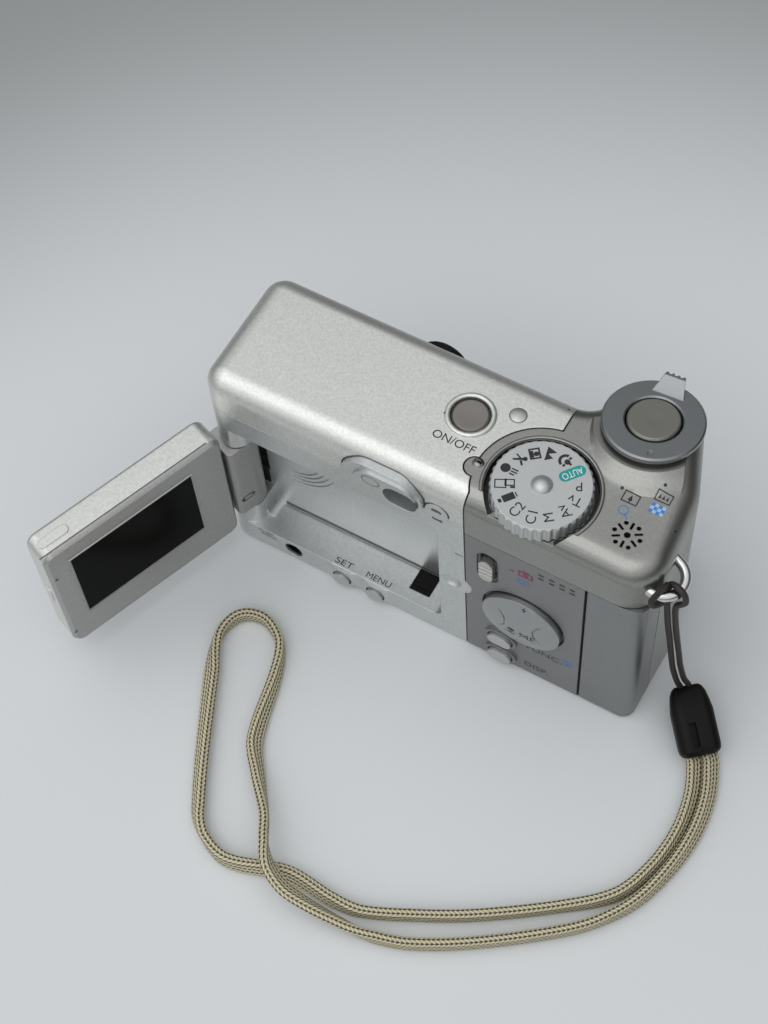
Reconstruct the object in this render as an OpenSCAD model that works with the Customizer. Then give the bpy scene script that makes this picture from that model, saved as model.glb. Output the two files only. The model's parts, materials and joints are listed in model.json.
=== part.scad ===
// Compact digital camera with a swing-out monitor, a zoom ring round the shutter button and a wrist strap.
// X runs along the body, the back faces -Y, the lens looks along +Y and Z is up.
// The origin is the mouth of the tripod socket, in the middle of the base.

/* [Body] */
// Width of the body
body_w = 103.2; // [101:0.2:110]
// Height of the body
body_h = 64.6; // [63:0.2:70]
// Depth of the body without the grip
body_d = 31.2; // [30.6:0.2:36]
// Thickness of the outer shells
wall = 1.8; // [1.4:0.1:2]
// Gap that shows between two shells
seam = 0.3; // [0.2:0.05:0.4]
// Clearance round a piece that moves
play = 0.3; // [0.25:0.05:0.4]
// Radius of the upright corners on the left
corner_r = 4.8; // [4.7:0.1:6]
// Rounding of the upper edges
top_round = 4.6; // [3:0.1:4.6]
// Rounding of the lower edges
base_round = 1.2; // [0.6:0.1:1.4]
// Distance from the top to the line between the top cover and the rear cover
part_drop = 10.3; // [9:0.1:10.6]
// Depth of the line between the front cover and the rear cover on the left side
part_y = -3; // [-4:0.5:0]

/* [Grip] */
// Radius of the upright corner at the back on the right
back_corner_r = 7.7; // [7:0.1:8]
// Radius of the upright corner of the card door
door_corner_r = 3; // [2.6:0.1:4]
// Radius of the grip's nose under the zoom ring
nose_r = 10.4; // [10:0.1:11]
// Radius of the hollow between the front face and the nose
nose_hollow_r = 6; // [5:0.5:8]
// Distance from the top to the line under the grip cover at the back
panel_drop = 13.1; // [12:0.1:14]
// Width of the control panel
panel_w = 27; // [26:0.5:28]
// Distance from the control panel to the right side
panel_in = 14.1; // [13.5:0.1:14.5]

/* [Monitor] */
// Radius of the hinge knuckles
hinge_r = 4; // [3.6:0.1:4.2]
// Radius of the hinge pin
hinge_pin_r = 1; // [0.8:0.1:1.2]
// Angle between the closed monitor and the monitor as it stands
open_angle = 111; // [90:1:130]
// Height of the body above the monitor
top_strip = 18; // [17.4:0.2:20]
// Distance from the control panel to the bay of the monitor
bay_side = 6.5; // [6:0.1:8]
// Thickness of the monitor
monitor_t = 7.6; // [7:0.1:8]
// Height of the monitor's lower edge above the base
monitor_z = 8.2; // [8:0.1:9]
// Width of the bezel between the hinge and the screen
screen_near = 8.8; // [8.6:0.1:11]
// Width of the bezel at the far end of the screen
screen_far = 5.3; // [4.4:0.1:6]
// Height of the bezel under the screen
screen_under = 8.8; // [7:0.1:10]
// Height of the bezel over the screen
screen_over = 6.5; // [5:0.1:8]
// Radius of the tilt shaft
tilt_r = 1.9; // [1.5:0.1:1.9]
// Depth of the floor of the monitor's bay below the back face
bay_depth = 8.3; // [8:0.1:9]

/* [Lens] */
// Distance from the ring round the lens to the battery box
lens_side = 5.2; // [4.8:0.1:7]
// Share of the room under the front finder window that lies below the ring round the lens
lens_share = 0.6865; // [0.5:0.0005:0.8]
// Width of the ring round the lens
lens_ring_w = 3.6; // [3.2:0.1:4]
// Radius of the outer barrel
barrel_r = 15.8; // [15:0.1:16]
// Thickness of the barrels
barrel_t = 1.3; // [1.2:0.1:1.4]
// Radius of the opening that the barrier blades close
iris_r = 5.4; // [4.6:0.1:5.4]

/* [Controls] */
// Radius of the mode dial
dial_r = 10.3; // [9.8:0.1:10.5]
// Height of the mode dial above the top
dial_h = 1.9; // [1.4:0.1:2.4]
// Notches round the mode dial
dial_notches = 36; // [24:2:44]
// Radius of the zoom ring
ring_r = 10.4; // [10:0.1:10.8]
// Radius of the shutter button
shutter_r = 5.4; // [4.8:0.1:5.6]
// Travel of the shutter button
shutter_travel = 1; // [0.6:0.1:1.2]
// Forward tilt of the zoom ring
ring_tilt = 7.4; // [4:0.2:9]
// Sideways tilt of the zoom ring
ring_lean = 2.9; // [0:0.1:4]
// Radius of the power button
power_r = 3.9; // [3.4:0.1:4.2]
// Radius of the four-way selector
selector_r = 9.1; // [8.6:0.1:9.6]
// Half length of the straight part of an oval button
oval_run = 0.9; // [0.6:0.1:1.2]
// Radius of the round ends of an oval button
oval_r = 1.9; // [1.6:0.1:2.1]
// Radius of a button on the bottom rail
rail_button_r = 2.1; // [1.8:0.1:2.3]
// Travel of the small buttons
button_travel = 0.5; // [0.3:0.1:0.6]
// Travel of the record and play switch
switch_travel = 2; // [1.5:0.1:2.5]

/* [Fittings] */
// Radius of the tripod socket, for a quarter-inch screw
tripod_r = 3.175; // [3:0.025:3.3]
// Depth of the tripod socket
tripod_depth = 5.5; // [5:0.1:6]
// Radius of the bore of the audio and video jack
jack_r = 1.75; // [1.25:0.05:1.75]
// Thickness of the strap lug's wire
lug_wire = 2.2; // [1.8:0.1:2.3]
// Radius of the strap lug's bow
lug_r = 4.3; // [4.1:0.1:4.6]
// Diameter of a battery cell
cell_d = 14.5; // [14:0.1:14.5]
// Height of the body above the battery cells
cell_drop = 11.5; // [11.5:0.1:13]
// Width of the memory card
card_w = 24; // [20:0.5:25]
// Length of the memory card
card_l = 32; // [28:0.5:33]
// Thickness of the memory card
card_t = 2.1; // [1.4:0.1:2.4]

/* [Strap] */
// Thickness of the thin cord between the lug and the slider
cord_d = 1.3; // [1.1:0.1:1.4]
// Width of the braided band
band_w = 3.8; // [3.4:0.1:4]
// Thickness of the braided band
band_t = 2; // [1.6:0.1:2.1]

/* [Hidden] */
$fn = 48;

// Reference planes of the body
left = -body_w / 2;
right = body_w / 2;
back = -body_d / 2;
front = body_d / 2;
far = 200;
part_z = body_h - part_drop;
panel_top = body_h - panel_drop;

// Colours
silver = [0.78, 0.78, 0.75];
warm_grey = [0.58, 0.57, 0.54];
cool_grey = [0.55, 0.57, 0.57];
panel_grey = [0.45, 0.44, 0.45];
bright = [0.86, 0.87, 0.88];
black = [0.06, 0.06, 0.06];
board_green = [0.1, 0.35, 0.2];
glass_tint = [0.35, 0.45, 0.5, 0.6];
khaki = [0.66, 0.6, 0.45];

// Plan of the body: a chain of round corners, each [x, y, radius], with the hollow as a negative radius
ring_x = right - 16.3;
ring_y = front + 1.6;
swell_r = 12.4;
hollow_run = sqrt(pow(nose_r + nose_hollow_r, 2) - pow(front + nose_hollow_r - ring_y, 2));
plan = [
    [left + corner_r, back + corner_r, corner_r],
    [right - back_corner_r, back + back_corner_r, back_corner_r],
    [right - 1.2 - swell_r, 5, swell_r],
    [ring_x, ring_y, nose_r],
    [ring_x - hollow_run - 0.3, front + nose_hollow_r, -nose_hollow_r],
    [left + corner_r, front - corner_r, corner_r]];
plan_mid = [ring_x - 2.3, 4];

// Plan below the line under the grip cover: a sharper back corner, set in under the grip's bulge
door_in = 1.3;
low_plan = [
    plan[0],
    [right - door_in - door_corner_r, back + door_corner_r, door_corner_r],
    plan[2], plan[3], plan[4], plan[5]];
arc_step = 9;

// Angle of the normal of the line that touches two neighbouring corners
function line_angle(a, b) =
    let (d = [b.x - a.x, b.y - a.y])
    atan2(d.y, d.x) - acos((a.z - b.z) / norm(d));

// Turn from one angle to the next: forwards round a corner, backwards round a hollow
function turn(from, to, hollow) =
    let (up = ((to - from) % 360 + 360) % 360)
    hollow ? up - 360 : (up > 359 ? 0 : up);

// Outline of a chain of corners, moved in by inset
function outline(chain, inset) = [
    for (i = [0 : len(chain) - 1])
        let (a = chain[(i + len(chain) - 1) % len(chain)],
            b = chain[i],
            c = chain[(i + 1) % len(chain)],
            from = line_angle(a, b),
            sweep = turn(from, line_angle(b, c), b.z < 0),
            n = max(1, ceil(abs(sweep) / arc_step)))
        for (k = [0 : n])
            let (angle = from + sweep * k / n)
            [b.x + (b.z - inset) * cos(angle), b.y + (b.z - inset) * sin(angle)]];

// Solid through outlines of one chain, one for each [inset, height] step; mid sees the whole outline
module loft(chain, steps, mid) {
    rings = [for (s = steps) outline(chain, s[0])];
    n = len(rings[0]);
    last = len(steps) - 1;
    points = concat(
        [for (k = [0 : last]) for (p = rings[k]) [p.x, p.y, steps[k][1]]],
        [[mid.x, mid.y, steps[0][1]], [mid.x, mid.y, steps[last][1]]]);
    low = n * (last + 1);
    sides = [
        for (k = [0 : last - 1]) for (j = [0 : n - 1])
            [k * n + j, (k + 1) * n + j, (k + 1) * n + (j + 1) % n, k * n + (j + 1) % n]];
    floor_faces = [for (j = [0 : n - 1]) [low, j, (j + 1) % n]];
    roof_faces = [for (j = [0 : n - 1]) [low + 1, last * n + (j + 1) % n, last * n + j]];
    polyhedron(points, concat(floor_faces, sides, roof_faces), convexity = 10);
}

// Steps of a rounded lower edge and a rounded upper edge
function lower_edge(r, inset, z) = [
    for (a = [0 : 30 : 90])
        [inset + r * (1 - sin(a)), z + r * (1 - cos(a))]];
function upper_edge(r, inset, z) = [
    for (a = [0 : 11.25 : 90])
        [inset + r * (1 - cos(a)), z - r * (1 - sin(a))]];

module envelope() {
    loft(plan, concat(lower_edge(base_round, 0, 0), upper_edge(top_round, 0, body_h)), plan_mid);
}

// Space inside the shells, open at the base
module cavity() {
    loft(plan, concat([[wall, -1]], upper_edge(top_round - wall, wall, body_h - wall)), plan_mid);
}

// Shell of the grip and the card door below the grip's bulge
module low_shell() {
    difference() {
        loft(low_plan, concat(lower_edge(base_round, 0, 0), [[0, panel_top]]), plan_mid);
        loft(low_plan, [[wall, -1], [wall, panel_top + 1]], plan_mid);
    }
}

// Box from one corner to the other
module block(low, high) {
    translate(low)
        cube(high - low);
}

// Upright rod
module rod(x, y, z0, z1, r) {
    translate([x, y, z0])
        cylinder(h = z1 - z0, r = r);
}

// Rod along Y from y0 to y1
module rod_y(x, z, y0, y1, r) {
    translate([x, y1, z])
        rotate([90, 0, 0])
            cylinder(h = y1 - y0, r = r);
}

// Two-ended oval in the XZ plane, pushed along Y from y0 to y1
module oval_y(x, z, run, r, y0, y1) {
    translate([x, y1, z])
        rotate([90, 0, 0])
            linear_extrude(height = y1 - y0)
                oval_2d(run, r);
}

module oval_2d(run, r) {
    translate([-run, 0])
        circle(r);
    translate([run, 0])
        circle(r);
    translate([-run, -r])
        square([2 * run, 2 * r]);
}

// Rectangle with round corners, in the middle of the plane
module round_rect_2d(w, h, r) {
    square([w - 2 * r, h], center = true);
    square([w, h - 2 * r], center = true);
    for (x = [-1, 1], y = [-1, 1])
        translate([x * (w / 2 - r), y * (h / 2 - r)])
            circle(r);
}

// Line between the covers on the top, seen in plan: the grip side of it, grown by gap
dial_x = right - 28.9;
dial_y = back + 9.4;
dial_well_r = dial_r + 1.1;
tongue_r = dial_r + 3.7;
index_r = 2.1;
index_y = dial_y - 1.5;
front_seam_x = right - 31.2;
panel_x0 = right - panel_in - panel_w;
panel_x1 = right - panel_in;
module grip_plan(gap) {
    translate([front_seam_x - gap, dial_y])
        square([far, far]);
    translate([dial_x, dial_y])
        circle(tongue_r + gap);
    translate([dial_x - tongue_r, index_y])
        circle(index_r + gap);
    translate([panel_x0 - gap, -far])
        square([far, far + dial_y]);
}

// Round finger notch that makes the seam beside the control panel swerve
notch_z = 27.6;
notch_r = 3.2;
notch_in = 1.9;
module seam_bump(x, grow) {
    rod_y(x, notch_z, back - 3, back + wall + 3, notch_r + grow);
}

// Bay of the closed monitor and the axis of its hinge
hinge_x = left + hinge_r;
hinge_y = back + hinge_r;
monitor_gap = 0.6;
monitor_end_gap = 0.7;
monitor_h = body_h - monitor_z - top_strip;
bay_z0 = monitor_z - monitor_gap;
bay_z1 = monitor_z + monitor_h + monitor_gap;
bay_x1 = panel_x0 - bay_side;
monitor_reach = bay_x1 - monitor_end_gap - hinge_x;
bay_y = back + bay_depth;
pan_t = 1.2;
shelf_t = 0.9;
bay_r = 2.2;
arm_gap = 0.3;
knuckle_z0 = bay_z0 + 6.6;
knuckle_z1 = bay_z1 - 7.1;
knuckle_x = hinge_x + hinge_r + 0.15;
arm_z0 = knuckle_z0 + arm_gap;
arm_z1 = knuckle_z1 - arm_gap;
pocket_x1 = hinge_x + hinge_r - 0.4;
pocket_y = bay_y + 2.2;
pocket_t = 0.9;

// Viewfinder
finder_z = body_h - 8.6;
finder_x = right - 59.7;
finder_r = 6.2;
finder_run = 3.3;
finder_proud = 1.1;
eyepiece_x = finder_x + 4.8;
eyepiece_r = 3;
eyepiece_run = 1;
bezel_x = finder_x - 3.4;
bezel_r = 5.4;
bezel_proud = 1.7;
lamp_x = finder_x + 12.3;
lamp_zs = [finder_z - 4.3, finder_z - 0.7];
lamp_r = 0.7;
lamp_run = 0.5;
lamp_boss_r = 2.6;

// Controls on the back
jack_x = left + 17.1;
jack_z = 4.4;
jack_wall = 0.5;
set_x = left + 30.4;
menu_x = left + 39;
rail_z = 4.5;
boss_base_r = 4.4;
boss_h = 1.3;
selector_x = panel_x0 + 13.6;
selector_z = 12 + 0.2621 * panel_top;
selector_t = 1.6;
dish_r = selector_r + 0.6;
dish_depth = 1.2;
selector_stem_r = 2;
function_x = panel_x0 + 8.5;
function_z = 12;
display_z = 4.6;
switch_x = panel_x0 + 5.2;
switch_z = 9.3 + 0.6195 * panel_top;
switch_run = 2.2;
switch_r = 1.6;
switch_slot = 0.4;

// Controls on the top
power_x = dial_x - 20.4;
power_y = dial_y + 8.5;
power_lamp_x = power_x + 8.4;
power_lamp_y = power_y + 4.5;
power_lamp_r = 1.7;
ring_z = body_h + 2.4;
ring_t = 1.2;
ring_bore_r = shutter_r + 0.35;
sleeve_t = 1.2;
sleeve_h = 3.6;
pedestal_r = ring_r - 0.8;
collar_r = ring_r + 1.3;
speaker_x = right - 9.8;
speaker_y = back + 8.3;
speaker_r = 5;

// Places everything at the zoom ring's tilted axis, with its top face at height 0
module on_ring() {
    translate([ring_x, ring_y, ring_z])
        rotate([-ring_tilt, -ring_lean, 0])
            children();
}

// Batteries, card and doors
cell_x = [right - 29.6, right - 29.6 + cell_d + 0.1];
cell_y = front - 10.6;
cell_z = 2.6;
cell_l = body_h - cell_z - cell_drop;
box_clear = 0.35;
box_t = 0.8;
box_x0 = cell_x[0] - cell_d / 2 - box_clear - box_t;
box_x1 = cell_x[1] + cell_d / 2 + box_clear + box_t;
box_y0 = cell_y - cell_d / 2 - box_clear - box_t;
box_y1 = cell_y + cell_d / 2 + box_clear + box_t;
box_z1 = cell_z + cell_l + 2;
base_t = 1.6;
base_in = wall + seam;
hatch_x0 = box_x0 + 0.6;
hatch_x1 = box_x1 - 0.6;
hatch_y0 = box_y0 + 0.6;
hatch_y1 = box_y1 - 0.6;
hatch_axis_z = base_t / 2;
card_y = back + 7;
card_z0 = 11;
slot_t = 0.7;
card_x1 = right - 3.6;
door_z0 = 1.6;
door_axis_in = 0.55;
door_axis_x = panel_x1 + seam + door_axis_in;
door_axis_y = back + door_axis_in;
door_side_y = back + 9;
barrel_hinge_r = door_axis_in - 0.05;

// Lens, from the front face backwards
lens_ring_r = barrel_r + lens_ring_w;
lens_x = box_x0 - lens_side - lens_ring_r;
lens_z = lens_ring_r + lens_share * (finder_z - bezel_r - 2 * lens_ring_r);
lens_hole_r = lens_ring_r - 2.1;
housing_t = 1.5;
housing_r = barrel_r + play + housing_t;
housing_y0 = bay_y + pan_t + 2.6;
flange_r = housing_r + 2.2;
flange_t = 1.2;
barrel_y0 = housing_y0 + housing_t + 0.4;
barrel_y1 = front + 3.6;
inner_r = barrel_r - barrel_t - play;
inner_y0 = barrel_y0 + 0.8;
inner_y1 = barrel_y1 - 0.5;
inner_bore = inner_r - barrel_t;
face_t = 0.8;
blade_t = 0.7;
blade_gap = 0.25;
blade_y1 = inner_y1 - face_t - blade_gap;
blade_y0 = blade_y1 - blade_t;
pivot_out = 1.62 * iris_r;
pivot_r = 0.7;

// Flash, focus lamp and the front plate behind them
flash_x = box_x0 - 8.1;
flash_z = body_h - 11.4;
flash_w = 13.4;
flash_h = 8;
focus_x = finder_x - 15.9;
focus_z = finder_z;
focus_r = 2.3;
plate_t = 1;
plate_y1 = front - wall - 0.1;
plate_y0 = plate_y1 - plate_t;

// Terminal cover on the left side
term_y0 = 1;
term_y1 = front - 3.2;
term_z0 = 6;
term_z1 = 20;
term_t = 1.1;
term_axis_x = left + term_t / 2 + 0.05;
term_axis_y = term_y1 - term_t / 2;

// Shells
module front_cover() {
    color(silver)
        difference() {
            union() {
                difference() {
                    intersection() {
                        envelope();
                        translate([left - 1, 0, 0])
                            rotate([90, 0, 90])
                                linear_extrude(height = far)
                                    front_side_2d();
                    }
                    cavity();
                    translate([0, 0, -1])
                        linear_extrude(height = body_h + 2)
                            grip_plan(seam);
                }
                power_rim();
            }
            rod_y(lens_x, lens_z, front - wall - 1, front + 1, lens_hole_r);
            front_windows(play);
            oval_y(finder_x, finder_z, finder_run, finder_r + seam, back - 1, back + 6);
            rod_y(lamp_x, lamp_zs[1] - 0.3, back - 1, back + 3, lamp_boss_r + seam);
            rod(power_x, power_y, body_h - wall - 1, body_h + 1, power_r + play);
            rod(power_lamp_x, power_lamp_y, body_h - wall - 1, body_h + 1, power_lamp_r + 0.1);
            rod_y(lens_x + lens_hole_r * 0.78, lens_z - lens_hole_r * 0.98, front - wall - 1, front + 1, 1.9);
            terminal_well();
        }
}

// Part of the front cover seen from the side: the front down to the base, and a strip over the top
module front_side_2d() {
    polygon([[back - 5, part_z], [part_y, part_z], [part_y, -1], [front + 5, -1],
        [front + 5, body_h + 1], [back - 5, body_h + 1]]);
}

// Raised round lip of the power button
module power_rim() {
    translate([power_x, power_y, body_h])
        rotate_extrude()
            translate([power_r + play + 0.5, 0])
                circle(0.6);
}

// Openings in the front face for the flash, the finder and the focus lamp
module front_windows(gap) {
    translate([flash_x, front + 3, flash_z])
        rotate([90, 0, 0])
            linear_extrude(height = wall + 4)
                round_rect_2d(flash_w + 2 * gap, flash_h + 2 * gap, 1.6);
    rod_y(bezel_x, finder_z, front - wall - 1, front + 3, bezel_r + gap);
    rod_y(focus_x, focus_z, front - wall - 1, front + 3, focus_r + gap);
}

// Room for the terminal cover, with a mouth for the two sockets behind it
module terminal_well() {
    block([left - 1, term_y0 - play, term_z0 - play], [left + term_t + 0.25, term_y1 + play, term_z1 + play]);
    block([left - 1, term_y0 + 1.5, term_z0 + 1.5], [left + wall + 1, term_y1 - 2, term_z1 - 1.5]);
}

module rear_cover() {
    color(cool_grey)
        difference() {
            union() {
                difference() {
                    intersection() {
                        envelope();
                        rear_region();
                    }
                    difference() {
                        cavity();
                        rear_pan();
                        rear_knuckles();
                    }
                }
                finder_boss();
                rail_bosses();
            }
            bay_room();
            bay_grooves();
            rod(hinge_x, hinge_y, bay_z0 - 5.5, bay_z1 + 4.5, hinge_pin_r + 0.02);
            rod_y(jack_x, jack_z, back - 1, back + wall + 3, jack_r + jack_wall);
            for (x = [set_x, menu_x])
                rod_y(x, rail_z, back - 3, back + wall + 4, rail_button_r + play);
            oval_y(eyepiece_x, finder_z, eyepiece_run, eyepiece_r, back - 4, back + 8);
            for (z = lamp_zs)
                oval_y(lamp_x, z, lamp_run, lamp_r + 0.02, back - 1, back + 5);
            catch_seat(0.02);
            translate([panel_x0 - 3.4, back - 1.6, notch_z])
                sphere(r = 2.8);
        }
}

// Everything that belongs to the rear cover, before the bay is cut
module rear_region() {
    block([left - 1, back - 1, -1], [panel_x0 - seam, part_y - seam, part_z - seam]);
    seam_bump(panel_x0 - notch_in, 0);
}

// Walls of the monitor's bay, and of the pocket behind the hinge arm
module rear_pan() {
    block([left + wall, back, bay_z0 - shelf_t], [bay_x1 + pan_t, bay_y + pan_t, bay_z1 + pan_t]);
    block([left + wall, bay_y, term_z1 - 0.5], [pocket_x1 + pocket_t, pocket_y + pocket_t, bay_z1]);
}

// Room of the closed monitor, and the room between the knuckles that the hinge arm turns in
module bay_room() {
    translate([(knuckle_x + bay_x1) / 2, bay_y, (bay_z0 + bay_z1) / 2])
        rotate([90, 0, 0])
            linear_extrude(height = bay_depth + 5)
                round_rect_2d(bay_x1 - knuckle_x, bay_z1 - bay_z0, bay_r);
    block([left - 5, back - 5, knuckle_z0], [knuckle_x + bay_r, bay_y, knuckle_z1]);
    block([left + wall, back, term_z1 + 0.5], [pocket_x1, pocket_y, knuckle_z1]);
    difference() {
        block([hinge_x, back - 5, bay_z0], [knuckle_x + bay_r, hinge_y, bay_z1]);
        rod(hinge_x, hinge_y, 0, body_h, hinge_r + 0.1);
    }
}

// Solid corners that hold the ends of the hinge pin
module rear_knuckles() {
    rod(hinge_x, hinge_y, bay_z1, part_z - seam, hinge_r);
    rod(hinge_x, hinge_y, base_t + 0.2, bay_z0, hinge_r);
}

// Raised oval round the finder's eyepiece
module finder_boss() {
    difference() {
        union() {
            oval_y(finder_x, finder_z, finder_run, finder_r, back - finder_proud, back + 4.8);
            oval_y(finder_x + 1.1, finder_z, finder_run - 0.6, finder_r - 1.4, back - finder_proud - 0.6, back);
        }
        oval_y(finder_x, finder_z, finder_run - 0.4, finder_r - 1.6, back + 1.6, back + 6);
        block([-far, back - 5, 0], [far, bay_y, bay_z1]);
    }
    difference() {
        rod_y(lamp_x, lamp_zs[1] - 0.3, back - 0.2, back + wall, lamp_boss_r);
        block([lamp_x - 9, back - 1, part_z - 4], [lamp_x + 9, back + 0.05, part_z - 2.4]);
    }
}

// Soft round swellings under the two buttons on the bottom rail
module rail_bosses() {
    swell = (pow(boss_base_r, 2) + pow(boss_h, 2)) / (2 * boss_h);
    intersection() {
        union()
            for (x = [set_x, menu_x])
                translate([x, back - boss_h + swell, rail_z])
                    sphere(r = swell);
        block([left, back - 3, 0.3], [right, back + 0.6, bay_z0 - 0.1]);
    }
}

// Quarter rings cut into the floor of the bay
module bay_grooves() {
    for (r = [7.6, 8.9, 10.2, 11.5])
        translate([left + 13.6, bay_y + 0.25, 33])
            rotate([90, 0, 0])
                rotate([0, 0, -90])
                    rotate_extrude(angle = 90)
                        translate([r, 0])
                            square([0.45, 1]);
}

// Seat of the monitor's catch in the shelf
catch_x0 = hinge_x + monitor_reach - 9;
catch_w = 5;
catch_y0 = back + 2.8;
catch_proud = 0.25;
module catch_seat(grow) {
    block([catch_x0 - grow, catch_y0 - grow, bay_z0 - 0.5 - grow],
        [catch_x0 + catch_w + grow, bay_y - 0.1, bay_z0 + 1]);
}

module monitor_catch() {
    color(black)
        difference() {
            block([catch_x0, catch_y0, bay_z0 - 0.5], [catch_x0 + catch_w, bay_y - 0.2, bay_z0 + catch_proud]);
            block([catch_x0 - 1, catch_y0 + 0.9, bay_z0], [catch_x0 + catch_w + 1, catch_y0 + 1.3, bay_z0 + 1]);
        }
}

module grip_cover() {
    color(warm_grey)
        difference() {
            union() {
                difference() {
                    intersection() {
                        union() {
                            difference() {
                                envelope();
                                block([-far, -far, -1], [far, far, panel_top]);
                            }
                            low_shell();
                        }
                        translate([0, 0, -1])
                            linear_extrude(height = body_h + 3)
                                grip_plan(0);
                    }
                    difference() {
                        intersection() {
                            cavity();
                            block([-far, -far, panel_top], [far, far, body_h]);
                        }
                        rod(dial_x, dial_y, body_h - wall - 2.6, body_h - 0.5, dial_well_r + 0.9);
                        ring_cup();
                    }
                    block([left, -far, door_z0 - seam], [far, door_side_y, panel_top]);
                    block([left, -far, -1], [panel_x1, back + 6, door_z0 + 1]);
                }
                pedestal();
                well_lip();
                index_bump();
            }
            index_slot();
            rod(dial_x, dial_y, body_h - dial_h - 0.6, body_h + 5, dial_well_r);
            rod(dial_x, dial_y, body_h - 9, body_h, 2.05);
            on_ring()
                translate([0, 0, -ring_t - play])
                    cylinder(h = 20, r = ring_r + play);
            on_ring()
                translate([0, 0, -cup_depth])
                    cylinder(h = cup_depth + 1, r = ring_bore_r + sleeve_t + 0.05);
            speaker_holes();
            lug_holes();
        }
}

// Thin raised lip round the dial's well, on the flat of the top
module well_lip() {
    intersection() {
        translate([dial_x, dial_y, body_h])
            rotate_extrude()
                translate([dial_well_r + 0.5, 0])
                    circle(0.4);
        translate([0, 0, body_h - 1])
            linear_extrude(height = 2)
                polygon(outline(plan, top_round - 1));
    }
}

// Round bump that the dial's marks are read against, with a slot in it
module index_bump() {
    translate([dial_x - tongue_r + 0.2, dial_y - 0.5, body_h - 0.7])
        sphere(r = 1.4);
}

module index_slot() {
    translate([dial_x - tongue_r + 0.2, dial_y - 0.5, body_h + 0.3])
        cube([1.7, 0.6, 1], center = true);
}

// Round step that carries the zoom ring, and the flared collar round its foot
module pedestal() {
    on_ring()
        translate([0, 0, -ring_t - 1.6])
            cylinder(h = 2.4, r = pedestal_r);
    intersection() {
        on_ring() {
            translate([0, 0, -4.6])
                cylinder(h = 1.3, r1 = collar_r + 4.2, r2 = collar_r + 1.5);
            translate([0, 0, -3.3])
                cylinder(h = 1.2, r1 = collar_r + 1.5, r2 = collar_r);
        }
        translate([0, 0, body_h - 6])
            linear_extrude(height = 12)
                polygon(outline(plan, top_round - 1.1));
        translate([0, 0, body_h - 6])
            linear_extrude(height = 12)
                grip_plan(0);
    }
}

// Cup under the shutter button, closed below
cup_depth = 8.1;
module ring_cup() {
    on_ring()
        translate([0, 0, -cup_depth - 1.2])
            cylinder(h = cup_depth, r = ring_bore_r + sleeve_t + 1.3);
}

// Speaker: a middle hole, then round holes and slots in turn
module speaker_holes() {
    translate([speaker_x, speaker_y, body_h - wall - 1]) {
        cylinder(h = wall + 2, r = 0.65);
        for (k = [0 : 5])
            rotate([0, 0, 60 * k]) {
                translate([2.7, 0, 0])
                    cylinder(h = wall + 2, r = 0.45);
                rotate([0, 0, 30])
                    translate([1.4, -0.25, 0])
                        cube([1.6, 0.5, wall + 2]);
            }
    }
}

module control_panel() {
    color(panel_grey)
        difference() {
            union() {
                difference() {
                    intersection() {
                        envelope();
                        block([panel_x0, back - 1, -1], [panel_x1, back + 6, panel_top - seam]);
                    }
                    cavity();
                }
                rod_y(selector_x, selector_z, back + dish_depth, back + dish_depth + 1.2, dish_r + 0.8);
                oval_boss(function_z);
                oval_boss(display_z);
            }
            seam_bump(panel_x0 - seam - notch_in, seam);
            rod_y(selector_x, selector_z, back - 1, back + dish_depth, dish_r);
            rod_y(selector_x, selector_z, back - 1, back + 6, selector_stem_r + 1);
            for (z = [function_z, display_z])
                oval_y(function_x, z, oval_run, oval_r + play, back - 4, back + 6);
            switch_way(back - 1, back + 6, switch_slot);
            switch_way(back - 1, back + 0.6, 0.9);
        }
}

// Raised collar of an oval button
module oval_boss(z) {
    oval_y(function_x, z, oval_run, oval_r + 1.1, back - 0.7, back + wall);
}

// Upright slot of the record and play switch
module switch_way(y0, y1, grow) {
    translate([switch_x, y1, switch_z])
        rotate([90, 0, 0])
            linear_extrude(height = y1 - y0)
                rotate([0, 0, 90])
                    oval_2d(switch_run + switch_travel / 2, switch_r + grow);
}

module base_plate() {
    color(silver)
        difference() {
            linear_extrude(height = base_t)
                polygon(outline(low_plan, base_in));
            block([hatch_x0 - play, hatch_y0 - play, -1], [hatch_x1 + play, hatch_y1 + play, base_t + 1]);
            rod(0, 0, -1, base_t + 1, tripod_r + 1.4);
            for (p = base_screws)
                rod(p.x, p.y, -1, base_t + 1, 1.05);
            for (p = base_screws)
                rod(p.x, p.y, -1, 0.7, 1.9);
        }
}

base_screws = [[left + 7, front - 6], [left + 11, back + 7.6],
    [box_x0 - 5.6, front - 5], [box_x0 - 5.6, back + 6]];

module tripod_socket() {
    color("silver")
        difference() {
            union() {
                rod(0, 0, 0, tripod_depth + 0.6, tripod_r + 1.36);
                rod(0, 0, base_t, base_t + 1, tripod_r + 3.4);
            }
            rod(0, 0, -1, tripod_depth, tripod_r);
        }
}

// Frame behind the front face that carries the lens, the flash and the finder
module chassis() {
    color("lightsteelblue")
        difference() {
            translate([(left + 5 + box_x0 - 0.5) / 2, plate_y1, body_h / 2])
                rotate([90, 0, 0])
                    linear_extrude(height = plate_t)
                        round_rect_2d(box_x0 - left - 5.5, body_h - 8, 2);
            rod_y(lens_x, lens_z, plate_y0 - 1, plate_y1 + 1, lens_hole_r + 0.3);
            translate([0, -1, 0])
                front_windows(play + 0.6);
            rod_y(lens_x + lens_hole_r * 0.78, lens_z - lens_hole_r * 0.98, plate_y0 - 1, plate_y1 + 1, 2.2);
        }
}

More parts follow.
